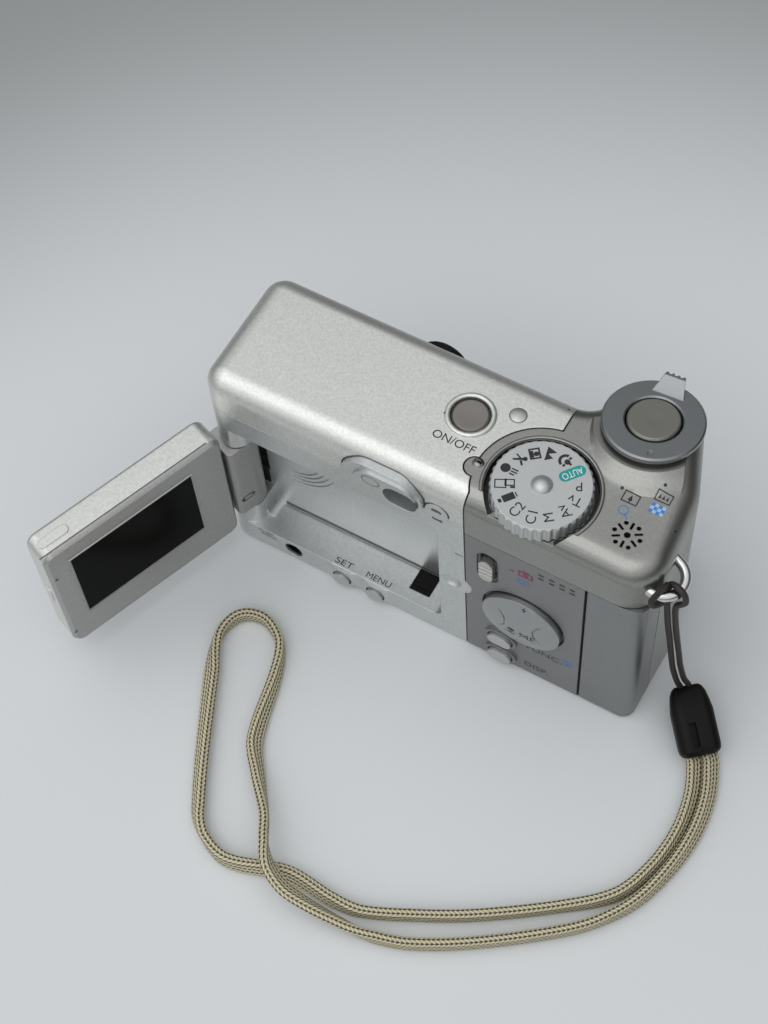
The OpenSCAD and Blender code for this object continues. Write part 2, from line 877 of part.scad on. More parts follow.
module lens_housing() {
    color("dimgray")
        difference() {
            union() {
                rod_y(lens_x, lens_z, housing_y0, plate_y0, housing_r);
                rod_y(lens_x, lens_z, plate_y0 - flange_t, plate_y0, flange_r);
            }
            rod_y(lens_x, lens_z, housing_y0 + housing_t, front, barrel_r + play);
            block([lens_x - 5, housing_y0 - 1, lens_z - 4], [lens_x + 5, front, lens_z + 4]);
        }
}

module lens_ring() {
    color(bright)
        difference() {
            union() {
                rod_y(lens_x, lens_z, front + 0.3, front + 2.2, lens_ring_r);
                translate([lens_x, front + 2.2, lens_z])
                    rotate([-90, 0, 0])
                        cylinder(h = 0.8, r1 = lens_ring_r, r2 = lens_ring_r - 0.8);
                rod_y(lens_x, lens_z, front - wall + 0.2, front + 1, lens_hole_r - 0.08);
            }
            rod_y(lens_x, lens_z, front - 5, front + 5, barrel_r + play);
            for (k = [0 : 2])
                translate([lens_x, front, lens_z])
                    rotate([0, 120 * k + 30, 0])
                        block([lens_ring_r - 1, 1.2, -3], [lens_ring_r + 1, 2, 3]);
        }
}

module ring_release_button() {
    color(bright)
        rod_y(lens_x + lens_hole_r * 0.78, lens_z - lens_hole_r * 0.98, front - wall - 2, front + 0.8, 1.6);
}

module outer_barrel() {
    color(bright)
        difference() {
            rod_y(lens_x, lens_z, barrel_y0, barrel_y1, barrel_r);
            rod_y(lens_x, lens_z, barrel_y0 - 1, barrel_y1 + 1, barrel_r - barrel_t);
            for (r = [1 : 3])
                translate([lens_x, barrel_y1 - 0.6 * r, lens_z])
                    rotate([90, 0, 0])
                        rotate_extrude()
                            translate([barrel_r - 0.15, 0])
                                square([1, 0.2]);
        }
}

module inner_barrel() {
    color(bright)
        difference() {
            rod_y(lens_x, lens_z, inner_y0, inner_y1, inner_r);
            rod_y(lens_x, lens_z, inner_y0 - 1, inner_y1 - face_t, inner_bore);
            translate([lens_x, inner_y1 - face_t - 0.01, lens_z])
                rotate([-90, 0, 0])
                    cylinder(h = face_t + 0.02, r1 = iris_r, r2 = iris_r + 1.2);
            for (s = [-1, 1])
                rod_y(lens_x + s * pivot_out, lens_z, inner_y1 - face_t - 0.5, inner_y1 - 0.3, pivot_r + 0.04);
        }
}

// Front glass in its cell, which slides with the inner barrel
module front_lens() {
    glass_y1 = blade_y0 - 0.9;
    color(glass_tint) {
        difference() {
            rod_y(lens_x, lens_z, glass_y1 - 4, glass_y1, inner_bore - 0.02);
            rod_y(lens_x, lens_z, glass_y1 - 5, glass_y1 + 1, iris_r + 1.6);
        }
        intersection() {
            rod_y(lens_x, lens_z, glass_y1 - 4, glass_y1, iris_r + 1.55);
            translate([lens_x, glass_y1 - 16, lens_z])
                sphere(r = 16);
        }
    }
}

// One barrier blade: a half disc with an ear round its pivot
module blade() {
    difference() {
        union() {
            intersection() {
                circle(iris_r + 0.5);
                translate([-far, 0.12])
                    square([2 * far, far]);
            }
            translate([pivot_out, 0])
                circle(1.5);
            translate([iris_r - 2, 0.12])
                square([pivot_out - iris_r + 2, 1.38]);
        }
        translate([pivot_out, 0])
            circle(0.01);
    }
}

module blade_solid(angle) {
    translate([lens_x, blade_y1, lens_z])
        rotate([90, 0, 0])
            rotate([0, 0, angle]) {
                linear_extrude(height = blade_t)
                    blade();
                translate([pivot_out, 0, -blade_gap - 0.4])
                    cylinder(h = blade_gap + 0.5, r = pivot_r);
            }
}

module barrier_upper() {
    color(black)
        blade_solid(0);
}

module barrier_lower() {
    color(black)
        blade_solid(180);
}

module image_sensor() {
    color("darkslateblue")
        block([lens_x - 6, bay_y + pan_t + 1.3, lens_z - 5], [lens_x + 6, housing_y0 - 0.1, lens_z + 5]);
}

module main_board() {
    board_y = bay_y + pan_t + 0.2;
    color(board_green)
        difference() {
            union() {
                block([pocket_x1 + pocket_t + 0.3, board_y, bay_z0], [bay_x1, board_y + 1, bay_z1]);
                block([left + wall + 0.4, board_y, bay_z0], [left + 10, term_y1 - 1.6, term_z1 - 1]);
            }
            block([left, term_y0 + 2.4, term_z0 + 3.4], [left + 8, term_y0 + 9, term_z0 + 6.4]);
            translate([left, term_y0 + 5.7, term_z0 + 10])
                rotate([0, 90, 0])
                    cylinder(h = 9, r = 1.9);
        }
}

module top_board() {
    color(board_green)
        difference() {
            block([power_x - 6, power_y - 6, body_h - 5.8], [power_lamp_x + 3, power_lamp_y + 3, body_h - 4.8]);
            rod(power_lamp_x - 6, power_lamp_y - 1, body_h - 7, body_h, 0.8);
        }
    color(black)
        rod(power_x, power_y, body_h - 4.8, body_h - 4.3, 2.5);
}

module viewfinder_body() {
    color(black)
        difference() {
            block([finder_x - 8, back + 5.2, finder_z - 5], [finder_x + 7, plate_y0 - 0.3, body_h - 6.2]);
            oval_y(eyepiece_x, finder_z - 0.8, eyepiece_run - 0.4, eyepiece_r - 0.9, back, 2);
            rod_y(bezel_x, finder_z - 0.8, 1, front, 2.1);
        }
}

module viewfinder_bezel() {
    color(black)
        difference() {
            union() {
                rod_y(bezel_x, finder_z, front - wall - 0.1, front + bezel_proud - 0.6, bezel_r);
                translate([bezel_x, front + bezel_proud - 0.6, finder_z])
                    rotate([-90, 0, 0])
                        cylinder(h = 0.6, r1 = bezel_r, r2 = bezel_r - 0.6);
            }
            block([bezel_x - 3.3, front - 4, finder_z - 2.3], [bezel_x + 3.3, front + 4, finder_z + 2.3]);
        }
}

module viewfinder_glass() {
    color(glass_tint) {
        oval_y(eyepiece_x, finder_z, eyepiece_run, eyepiece_r - 0.03, back + 1.4, back + 3);
        block([bezel_x - 3.28, front - 1, finder_z - 2.28], [bezel_x + 3.28, front + 0.6, finder_z + 2.28]);
    }
}

module viewfinder_lamps() {
    color("orange")
        for (z = lamp_zs)
            oval_y(lamp_x, z, lamp_run, lamp_r, back + 0.4, back + 3);
}

module flash_unit() {
    color("dimgray")
        block([flash_x - flash_w / 2 + 0.6, plate_y0 - 9, flash_z - 4.2],
            [flash_x + flash_w / 2 - 0.6, plate_y0, flash_z + 4.2]);
}

module flash_window() {
    color([0.85, 0.88, 0.9])
        difference() {
            translate([flash_x, front + 0.3, flash_z])
                rotate([90, 0, 0])
                    linear_extrude(height = wall + 0.4)
                        round_rect_2d(flash_w, flash_h, 1.4);
            for (k = [-5 : 5])
                block([flash_x + k * 1.1 - 0.15, front + 0.1, flash_z - 3],
                    [flash_x + k * 1.1 + 0.15, front + 1, flash_z + 3]);
        }
}

module focus_lamp() {
    color([0.85, 0.6, 0.4])
        intersection() {
            rod_y(focus_x, focus_z, front - wall, front + 0.6, focus_r);
            translate([focus_x, front - 4.6, focus_z])
                sphere(r = 5.2);
        }
}

module power_button() {
    color("rosybrown")
        difference() {
            union() {
                rod(power_x, power_y, body_h - 2.6, body_h - 0.2, power_r);
                translate([power_x, power_y, body_h - 0.2])
                    cylinder(h = 0.4, r1 = power_r, r2 = power_r - 0.4);
                rod(power_x, power_y, body_h - 3.2, body_h - wall - play, power_r + 0.9);
                rod(power_x, power_y, body_h - 4.2 + button_travel, body_h - 3, 1.5);
            }
            translate([power_x, power_y, body_h + 40.1])
                sphere(r = 40);
        }
}

module power_lamp() {
    color(silver)
        intersection() {
            rod(power_lamp_x, power_lamp_y, body_h - wall - 0.4, body_h + 0.5, power_lamp_r);
            translate([power_lamp_x, power_lamp_y, body_h - 4.2])
                sphere(r = 4.6);
        }
}

// Mode dial: a notched disc with a round hub, on a short shaft
module mode_dial() {
    floor_z = body_h - dial_h - 0.6;
    top_z = body_h + dial_h;
    hub_r = 2.6;
    hub_h = 1.2;
    color(bright)
        difference() {
            union() {
                rod(dial_x, dial_y, floor_z + play, top_z - 0.4, dial_r);
                translate([dial_x, dial_y, top_z - 0.4])
                    cylinder(h = 0.4, r1 = dial_r, r2 = dial_r - 0.4);
                translate([dial_x, dial_y, top_z + hub_h - hub_r])
                    sphere(r = hub_r);
                rod(dial_x, dial_y, body_h - 7, floor_z + 1, 2);
            }
            for (k = [0 : dial_notches - 1])
                translate([dial_x, dial_y, floor_z])
                    rotate([0, 0, k * 360 / dial_notches])
                        translate([dial_r + 0.25, 0, 0])
                            cylinder(h = 10, r = 0.6);
        }
}

module zoom_ring() {
    color([0.62, 0.64, 0.66])
        on_ring()
            difference() {
                union() {
                    translate([0, 0, -ring_t])
                        cylinder(h = ring_t - 0.35, r = ring_r);
                    translate([0, 0, -0.35])
                        cylinder(h = 0.35, r1 = ring_r, r2 = ring_r - 0.35);
                    translate([0, 0, -ring_t - sleeve_h])
                        cylinder(h = sleeve_h + 0.1, r = ring_bore_r + sleeve_t);
                    ring_tab();
                }
                translate([0, 0, -12])
                    cylinder(h = 20, r = ring_bore_r);
                translate([0, 0, -0.3])
                    cylinder(h = 0.31, r1 = ring_bore_r, r2 = ring_bore_r + 0.31);
                rotate([0, 0, -69])
                    translate([8.7, 0, -0.25])
                        cylinder(h = 1, r = 0.6);
            }
}

// Thumb tab of the zoom ring: a tongue that narrows and rises to a notched tip over the front edge
module ring_tab() {
    foot = ring_bore_r + 1.1;
    tip = ring_r + 0.7;
    rotate([0, 0, 92.5])
        difference() {
            intersection() {
                translate([0, 4, 0])
                    rotate([90, 0, 0])
                        linear_extrude(height = 8)
                            polygon([[foot, -0.4], [foot, 0.01], [tip - 2.2, 0.9], [tip - 0.9, 1.9],
                                [tip, 1.9], [tip, -0.6], [foot + 1, -0.6]]);
                translate([0, 0, -1])
                    linear_extrude(height = 4)
                        polygon([[foot, -3.4], [tip, -2], [tip, 2], [foot, 3.4]]);
            }
            for (k = [-1, 0, 1])
                translate([tip, 1.2 * k, 0])
                    cylinder(h = 4, r = 0.4);
        }
}

module shutter_button() {
    color([0.42, 0.42, 0.39])
        on_ring()
            difference() {
                union() {
                    translate([0, 0, -2.6])
                        cylinder(h = 2.4, r = shutter_r);
                    translate([0, 0, -0.2])
                        cylinder(h = 0.4, r1 = shutter_r, r2 = shutter_r - 0.3);
                    translate([0, 0, -cup_depth + shutter_travel + play])
                        cylinder(h = 5, r = 1.6);
                }
                translate([0, 0, 60.15])
                    sphere(r = 60);
            }
}

module speaker() {
    color("dimgray")
        difference() {
            rod(speaker_x, speaker_y, body_h - wall - 2.6, body_h - wall - 0.6, speaker_r);
            rod(speaker_x, speaker_y, body_h - wall - 1.3, body_h, speaker_r - 0.8);
        }
}

// Strap lug: a bow of wire that stands out of the right back corner
lug_at = [right - 0.9, back + 7.2, body_h - 7.1];
lug_turn = -21;
lug_drop = 8.7;
lug_leg = 3.2;
module on_lug() {
    translate(lug_at)
        rotate([0, 0, lug_turn])
            rotate([0, lug_drop, 0])
                children();
}

module strap_lug() {
    color("silver")
        lug_bow(lug_wire / 2, lug_leg);
}

// Half round bow with two straight legs
module lug_bow(r, leg) {
    on_lug() {
        rotate([0, 0, -90])
            rotate_extrude(angle = 180)
                translate([lug_r, 0])
                    circle(r);
        for (s = [-1, 1])
            translate([0, s * lug_r, 0])
                rotate([0, -90, 0])
                    cylinder(h = leg, r = r);
    }
}

module lug_holes() {
    lug_bow(lug_wire / 2 + 0.05, lug_leg + 2);
}

module mode_switch() {
    color("gray")
        difference() {
            union() {
                switch_body(back - 1.1, back + 0.5, 0);
                switch_body(back + 0.4, back + wall + 1, -0.5);
                switch_body(back + wall + 0.2, back + wall + 1, 1.2);
            }
            for (k = [-1, 0, 1])
                rod_bar(switch_x, switch_z + k * 1.5);
        }
}

module switch_body(y0, y1, grow) {
    translate([switch_x, y1, switch_z])
        rotate([90, 0, 0])
            linear_extrude(height = y1 - y0)
                rotate([0, 0, 90])
                    oval_2d(switch_run, switch_r + grow);
}

module rod_bar(x, z) {
    translate([x - 5, back - 1.35, z])
        rotate([0, 90, 0])
            cylinder(h = 10, r = 0.5);
}

// Four-way selector: a low dome with three curved lines, on a tilting pivot
selector_y = back + dish_depth - 1.05;
module selector_disc() {
    dome_r = 42;
    color(bright)
        difference() {
            union() {
                intersection() {
                    rod_y(selector_x, selector_z, selector_y - selector_t - 0.8, selector_y, selector_r);
                    translate([selector_x, selector_y - selector_t - 0.8 + dome_r, selector_z])
                            sphere(r = dome_r, $fn = 240);
                }
                rod_y(selector_x, selector_z, selector_y - 0.5, back + dish_depth + 0.4, selector_stem_r);
            }
            for (angle = [0, 180, 270])
                selector_line(angle);
        }
}

// Curved line that marks one direction
module selector_line(angle) {
    translate([selector_x, selector_y, selector_z])
        rotate([90, 0, 0])
            rotate([0, 0, angle])
                translate([selector_r - 1, 0, selector_t + 0.3])
                    rotate([0, 0, 118])
                        rotate_extrude(angle = 124)
                            translate([4.6, 0])
                                square([0.4, 2]);
}

module selector_pivot() {
    color("gray")
        rod_y(selector_x, selector_z, back + dish_depth + 0.7, back + dish_depth + 1.9, selector_stem_r + 0.3);
}

module oval_button(z) {
    color(bright)
        difference() {
            union() {
                oval_y(function_x, z, oval_run, oval_r, back - 1.5, back + wall + 0.6);
                oval_y(function_x, z, oval_run, oval_r + 0.7, back + wall + play, back + wall + 1);
            }
            translate([function_x, back - 1.5 - 24.8, z])
                sphere(r = 25);
        }
}

module function_button() {
    oval_button(function_z);
}

module display_button() {
    oval_button(display_z);
}

module key_board() {
    keys_y = back + wall + 1.4 + button_travel;
    color(board_green)
        difference() {
            block([panel_x0 + 1.5, keys_y, 2.4], [panel_x1 - 1.5, keys_y + 0.8, panel_top - 4]);
            rod_y(selector_x, selector_z, back, 0, selector_stem_r + 0.5);
        }
}

module rail_button(x) {
    color(bright)
        union() {
            rod_y(x, rail_z, back - boss_h - 0.3, back + wall + 0.4, rail_button_r);
            intersection() {
                rod_y(x, rail_z, back + wall + play, back + wall + 1, rail_button_r + 0.8);
                block([-far, -far, base_t + 0.2], [far, far, bay_z0 - shelf_t - 0.1]);
            }
        }
}

module set_button() {
    rail_button(set_x);
}

module menu_button() {
    rail_button(menu_x);
}

module av_jack() {
    color(black)
        difference() {
            rod_y(jack_x, jack_z, back + 0.5, back + 12.5, jack_r + jack_wall - 0.02);
            rod_y(jack_x, jack_z, back, back + 11.5, jack_r);
        }
}

// Hinge of the monitor
module hinge_pin() {
    color("silver")
        rod(hinge_x, hinge_y, bay_z0 - 5, bay_z1 + 4, hinge_pin_r);
}

// Places the monitor's pieces: x along the panel, y through it towards the screen, at the angle it stands at
module on_hinge() {
    translate([hinge_x, hinge_y, 0])
        rotate([0, 0, -open_angle])
            children();
}

arm_len = 5.2;
panel_s0 = arm_len + 0.4;
screen_y = 2.9;
shell_y = screen_y - monitor_t;
tilt_y = screen_y - monitor_t / 2;
tilt_z = monitor_z + monitor_h / 2;
monitor_wall = 1.2;
monitor_r = 2.6;
monitor_edge = 1;
bezel_t = 1;
tilt_in = 1.9;

module hinge_arm() {
    color(cool_grey)
        on_hinge()
            difference() {
                translate([0, 0, arm_z0])
                    linear_extrude(height = arm_z1 - arm_z0)
                        arm_2d(hinge_r - 0.05);
                rod(0, 0, 0, body_h, hinge_pin_r + 0.06);
                translate([tilt_in, tilt_y, tilt_z])
                    rotate([0, 90, 0])
                        cylinder(h = 10, r = tilt_r + 0.06);
                translate([2.4, hinge_r - 0.9, tilt_z - 7.4])
                    rotate([-90, 0, 0])
                        linear_extrude(height = 5)
                            difference() {
                                oval_2d(0.8, 1.05);
                                oval_2d(0.6, 0.5);
                            }
            }
}

// Plan of the hinge arm: round about the pin, flat towards the monitor
arm_round = 1.2;
module arm_2d(r) {
    circle(r);
    translate([0, -r])
        square([arm_len - arm_round, 2 * r]);
    translate([0, arm_round - r])
        square([arm_len, 2 * (r - arm_round)]);
    for (s = [-1, 1])
        translate([arm_len - arm_round, s * (r - arm_round)])
            circle(arm_round);
}

module tilt_shaft() {
    color("silver")
        on_hinge()
            translate([tilt_in + 0.1, tilt_y, tilt_z])
                rotate([0, 90, 0])
                    difference() {
                        union() {
                            cylinder(h = panel_s0 + 6 - tilt_in, r = tilt_r);
                            translate([-4, -tilt_r, panel_s0 + monitor_wall + 0.1 - tilt_in])
                                cube([8, 2 * tilt_r, 1]);
                        }
                        translate([0, 0, -1])
                            cylinder(h = 30, r = tilt_r - 0.8);
                    }
}

// Corners of the monitor panel, seen against the screen
module monitor_slab(steps) {
    x0 = panel_s0 + monitor_r;
    x1 = monitor_reach - monitor_r;
    z0 = monitor_z + monitor_r;
    z1 = monitor_z + monitor_h - monitor_r;
    chain = [[x0, -z1, monitor_r], [x1, -z1, monitor_r], [x1, -z0, monitor_r], [x0, -z0, monitor_r]];
    rotate([-90, 0, 0])
        loft(chain, steps, [(x0 + x1) / 2, -(z0 + z1) / 2]);
}

module monitor_back() {
    back_steps = [for (a = [0 : 22.5 : 90])
        [monitor_edge * (1 - sin(a)), shell_y + monitor_edge * (1 - cos(a))]];
    color(silver)
        on_hinge() {
            difference() {
                monitor_slab(concat(back_steps, [[0, screen_y - bezel_t]]));
                block([panel_s0 + monitor_wall, shell_y + monitor_wall, monitor_z + monitor_wall],
                    [monitor_reach - monitor_wall, far, monitor_z + monitor_h - monitor_wall]);
                translate([0, tilt_y, tilt_z])
                    rotate([0, 90, 0])
                        cylinder(h = 20, r = tilt_r + 0.02);
            }
            for (z = [monitor_z - detent_proud, monitor_z + monitor_h])
                monitor_detent(z);
            block([monitor_reach - 0.1, tilt_y - 1, tilt_z - 2.2],
                [monitor_reach + 0.3, tilt_y + 0.8, tilt_z + 2.2]);
        }
}

// Oval stud on the upper and the lower edge that clicks into the bay
detent_proud = 0.3;
module monitor_detent(z) {
    translate([monitor_reach - 5, tilt_y, z])
        linear_extrude(height = detent_proud)
            oval_2d(2.6, 1.1);
}

module monitor_front() {
    bevel = 0.7;
    color([0.5, 0.49, 0.47])
        on_hinge()
            difference() {
                monitor_slab([[0.02, screen_y - bezel_t], [0.15, screen_y - bezel_t + 0.3], [bevel, screen_y]]);
                screen_cut(0.02, screen_y - bezel_t - 1, screen_y - 0.35);
                screen_cut(-0.6, screen_y - 0.4, screen_y + 1);
            }
}

// Screen window: the opening of the bezel, grown by gap
screen_s0 = panel_s0 + screen_near;
screen_s1 = monitor_reach - screen_far;
screen_z0 = monitor_z + screen_under;
screen_z1 = monitor_z + monitor_h - screen_over;
module screen_cut(gap, y0, y1) {
    block([screen_s0 - gap, y0, screen_z0 - gap], [screen_s1 + gap, y1, screen_z1 + gap]);
}

module monitor_glass() {
    color(black)
        on_hinge()
            screen_cut(0, screen_y - bezel_t - 0.4, screen_y - 0.42);
}

module lcd_module() {
    color("dimgray")
        on_hinge()
            block([screen_s0 - 0.6, shell_y + monitor_wall + 0.1, screen_z0 - 2],
                [screen_s1 + 2, screen_y - bezel_t - 0.5, screen_z1 + 2]);
}

// Doors
module card_door() {
    color(cool_grey)
        union() {
            intersection() {
                low_shell();
                block([door_axis_x, back - 1, door_z0], [far, door_side_y - seam, panel_top - seam]);
            }
            rod(door_axis_x, door_axis_y, door_z0, panel_top - seam, barrel_hinge_r);
        }
}

module card_slot() {
    y0 = card_y - card_t / 2 - 0.1 - slot_t;
    y1 = card_y + card_t / 2 + 0.1 + slot_t;
    color("lightgray")
        difference() {
            block([card_x1 - card_l - 1, y0, card_z0 - 1.2], [card_x1 - 3, y1, card_z0 + card_w + 1.2]);
            block([card_x1 - card_l - 0.1, y0 + slot_t, card_z0 - 0.1],
                [right, y1 - slot_t, card_z0 + card_w + 0.1]);
        }
}

module memory_card() {
    color("steelblue")
        block([card_x1 - card_l, card_y - card_t / 2, card_z0],
            [card_x1, card_y + card_t / 2, card_z0 + card_w]);
}

module battery_box() {
    color("dimgray")
        difference() {
            block([box_x0, box_y0, base_t + 0.2], [box_x1, box_y1, box_z1]);
            for (x = cell_x)
                rod(x, cell_y, 0, box_z1 - 0.8, cell_d / 2 + box_clear);
            block([cell_x[0], cell_y - 3, 0], [cell_x[1], cell_y + 3, box_z1 - 0.8]);
        }
}

module battery_cells() {
    color("goldenrod")
        for (x = cell_x) {
            rod(x, cell_y, cell_z, cell_z + cell_l - 1, cell_d / 2);
            rod(x, cell_y, cell_z + cell_l - 1, cell_z + cell_l, 2.7);
        }
}

module battery_door() {
    color(silver) {
        block([hatch_x0 + hatch_axis_z, hatch_y0, 0], [hatch_x1, hatch_y1, base_t]);
        translate([hatch_x0 + hatch_axis_z, hatch_y0, hatch_axis_z])
            rotate([-90, 0, 0])
                cylinder(h = hatch_y1 - hatch_y0, r = hatch_axis_z);
        for (x = cell_x)
            rod(x, cell_y, base_t - 0.1, base_t + 0.6, 3);
    }
}

module terminal_cover() {
    color([0.3, 0.3, 0.31])
        union() {
            block([left + 0.05, term_y0, term_z0], [left + 0.05 + term_t, term_axis_y, term_z1]);
            rod(term_axis_x, term_axis_y, term_z0, term_z1, term_t / 2);
        }
}

// Tube along a route, with one ring of the profile at each point; hold is a direction the route never takes,
// and rolls turns the profile about the route
function unit(v) = v / norm(v);
function along(route, i) = unit(route[min(i + 1, len(route) - 1)] - route[max(i - 1, 0)]);
module sweep(route, profile, hold, rolls) {
    n = len(profile);
    points = [
        for (i = [0 : len(route) - 1])
            let (t = along(route, i), u = unit(cross(hold, t)), v = cross(t, u),
                c = cos(rolls[i]), s = sin(rolls[i]))
            for (q = profile)
                route[i] + (q.x * c - q.y * s) * u + (q.x * s + q.y * c) * v];
    sides = [
        for (k = [0 : len(route) - 2]) for (j = [0 : n - 1])
            let (a = k * n + j, b = k * n + (j + 1) % n)
            for (f = [[a, a + n, b + n], [a, b + n, b]])
                f];
    first_end = [for (j = [0 : n - 1]) j];
    last_end = [for (j = [n - 1 : -1 : 0]) (len(route) - 1) * n + j];
    polyhedron(points, concat([first_end], sides, [last_end]), convexity = 10);
}

// The strap's places are counted from the foot of the right back corner
module on_corner() {
    translate([right, back, 0])
        children();
}

// Thin cord: up from the slider, over the lug's bow and down again
cord_route = [
    [8.4, 9.4, 8.2], [7.2, 10.2, 9.6], [6.4, 9.85, 11.6], [5.85, 9.25, 15], [5.1, 8.5, 21], [4.7, 7.95, 26],
    [4.25, 7.42, 31], [3.8, 6.95, 36], [3.4, 6.45, 41], [3.1, 6.05, 45.5], [2.95, 5.75, 49], [3.3, 5.35, 52],
    [4.4, 4.85, 54.4], [5.1, 4.55, 56.6], [4.5, 4.8, 58.5], [2.9, 5.35, 59.2], [1.35, 5.85, 58.4],
    [0.85, 5.85, 56.4], [1.05, 5.3, 54.2], [1.4, 4.8, 51.6], [1.75, 5.05, 46.5], [2.15, 5.5, 41],
    [2.6, 6, 36], [3, 6.5, 31], [3.45, 7, 25.5], [4, 7.55, 19.5], [4.7, 8.2, 14.5], [5.3, 8.7, 11.2],
    [6.1, 8.9, 9.2], [7.3, 8.4, 7.9]];
module strap_cord() {
    color(black)
        on_corner()
            sweep(cord_route, [for (k = [0 : 7]) cord_d / 2 * [cos(45 * k), sin(45 * k)]], [0.36, 0.93, 0],
                [for (q = cord_route) 0]);
}

// Slider that joins the thin cord to the band, with a window in its upper face
slider_top = [6.8, 10, 8.6];
slider_end = [16.2, -0.8, 3.3];
slider_w = 9.2;
slider_t = 6;
slider_r = 2.4;
module strap_slider() {
    run = slider_end - slider_top;
    length = norm(run);
    x = slider_w / 2 - slider_r;
    y = slider_t / 2 - slider_r;
    chain = [[-x, -y, slider_r], [x, -y, slider_r], [x, y, slider_r], [-x, y, slider_r]];
    steps = [[2, 0], [1.3, 0.6], [0.8, 1.6], [0.4, 3.2], [0, 5.6],
        [0, length - 2], [0.2, length - 1], [0.7, length - 0.4], [1.6, length]];
    color(black)
        on_corner()
            translate(slider_top)
                rotate([0, 0, atan2(run.y, run.x)])
                    rotate([0, 90 - asin(run.z / length), 0])
                        rotate([0, 0, 90])
                            difference() {
                                loft(chain, steps, [0, 0]);
                                translate([-1.7, slider_t / 2 - 1.4, 0.53 * length])
                                    cube([1.5, slider_t, 0.34 * length]);
                            }
}

// Braided band: from the slider, where it lies flatter, round the loop and back, over itself once
band_z = band_w / 2 + 0.1;
band_plan = [
    [14.4, -1, 0], [15.8, -3, 0], [18.2, -9.8, 0], [19.1, -18.5, 0], [17.7, -27.8, 0],
    [13.8, -36.6, 0], [4.4, -44.8, 0], [-10.3, -55, 0], [-21.3, -61, 0], [-30.7, -65.2, 0],
    [-36.9, -66, 0], [-48.1, -65.6, 0], [-61.2, -69.3, 0], [-68.1, -67, 0], [-72.7, -62.5, 0],
    [-87.4, -33.7, 0], [-90.6, -25.8, 0], [-89.9, -20.6, 0], [-87.3, -17.9, 0], [-82.7, -17.4, 0],
    [-77.6, -20.7, 0], [-74.6, -26.8, 0], [-70.2, -43.1, 0.2], [-65.1, -50, 0.9], [-58.6, -57.8, 2.6],
    [-55, -63.6, 3.9], [-51, -67.6, 4.3], [-45.2, -69.8, 3.6], [-32, -69.6, 0.7], [-25.3, -68.6, 0.1],
    [-18.4, -66.3, 0], [-7.7, -60.2, 0], [5.4, -50.6, 0], [12.3, -44.3, 0], [18, -36, 0],
    [21.1, -26.3, 0], [22.2, -17.1, 0], [21.3, -8.4, 0], [18.6, -1, 0], [17.1, 1.2, 0]];
band_last = len(band_plan) - 1;
band_rolls = [for (i = [0 : band_last]) max(0, 60 - 10 * i) - max(0, 60 - 10 * (band_last - i))];
module strap_band() {
    nip = 0.4;
    w = band_w / 2;
    t = band_t / 2;
    profile = [[t, w - nip], [t - nip, w], [nip - t, w], [-t, w - nip],
        [-t, nip - w], [nip - t, -w], [t - nip, -w], [t, nip - w]];
    color(khaki)
        on_corner()
            sweep([for (p = band_plan) [p.x, p.y, band_z + p.z]], profile, [0, 0, 1], band_rolls);
}

module body_screws() {
    color("silver")
        for (p = base_screws) {
            rod(p.x, p.y, 0.1, 0.7, 1.7);
            rod(p.x, p.y, 0.6, 6, 1);
        }
}

front_cover();
rear_cover();
grip_cover();
control_panel();
base_plate();
chassis();
lens_housing();
lens_ring();
ring_release_button();
outer_barrel();
inner_barrel();
front_lens();
barrier_upper();
barrier_lower();
image_sensor();
main_board();
top_board();
viewfinder_body();
viewfinder_bezel();
viewfinder_glass();
viewfinder_lamps();
flash_unit();
flash_window();
focus_lamp();
power_button();
power_lamp();
mode_dial();
zoom_ring();
shutter_button();
speaker();
strap_lug();
mode_switch();
selector_disc();
selector_pivot();
function_button();
display_button();
key_board();
set_button();
menu_button();
av_jack();
monitor_catch();
hinge_pin();
hinge_arm();
tilt_shaft();
monitor_back();
monitor_front();
monitor_glass();
lcd_module();
card_door();
card_slot();
memory_card();
battery_box();
battery_cells();
battery_door();
tripod_socket();
body_screws();
terminal_cover();
strap_cord();
strap_slider();
strap_band();
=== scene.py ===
import json
import math

import bmesh
import bpy
from mathutils import Matrix, Vector
from mathutils.bvhtree import BVHTree


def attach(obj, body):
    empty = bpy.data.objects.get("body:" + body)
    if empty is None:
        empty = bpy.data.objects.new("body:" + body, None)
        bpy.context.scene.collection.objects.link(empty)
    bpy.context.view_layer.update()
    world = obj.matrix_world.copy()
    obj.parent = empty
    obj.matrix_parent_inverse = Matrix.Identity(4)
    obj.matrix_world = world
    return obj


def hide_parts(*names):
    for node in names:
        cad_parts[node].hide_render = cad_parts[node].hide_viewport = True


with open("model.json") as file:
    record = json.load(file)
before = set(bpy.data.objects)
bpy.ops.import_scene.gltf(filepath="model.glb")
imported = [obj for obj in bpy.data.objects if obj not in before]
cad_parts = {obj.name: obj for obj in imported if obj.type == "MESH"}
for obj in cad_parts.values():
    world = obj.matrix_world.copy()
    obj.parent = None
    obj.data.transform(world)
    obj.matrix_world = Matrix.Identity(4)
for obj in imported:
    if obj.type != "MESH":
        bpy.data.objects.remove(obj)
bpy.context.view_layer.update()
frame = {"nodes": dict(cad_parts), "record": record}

MM = 0.001
nodes = frame["nodes"]

# Camera: angles in degrees, and its place to the right of, above and away from the origin in its own axes
CAMERA_ANGLES = (34.89, 60.61, -5.79)
CAMERA_PLACE = (-17.35, 13.07, 452.79)
FOCAL_LENGTH = 69.89
SENSOR_WIDTH = 36

# Body in millimetres: back face, top face, shelf of the monitor's bay; and the mode dial
BACK = -15.6
TOP = 64.6
SHELF = 7.6
DIAL_AT = (22.7, -6.2)
DIAL_TOP = 66.5
DIAL_STEPS = 14
# Gap round the dial: radii, floor
WELL_INNER, WELL_OUTER, WELL_FLOOR = 10.35, 11.37, 62.13
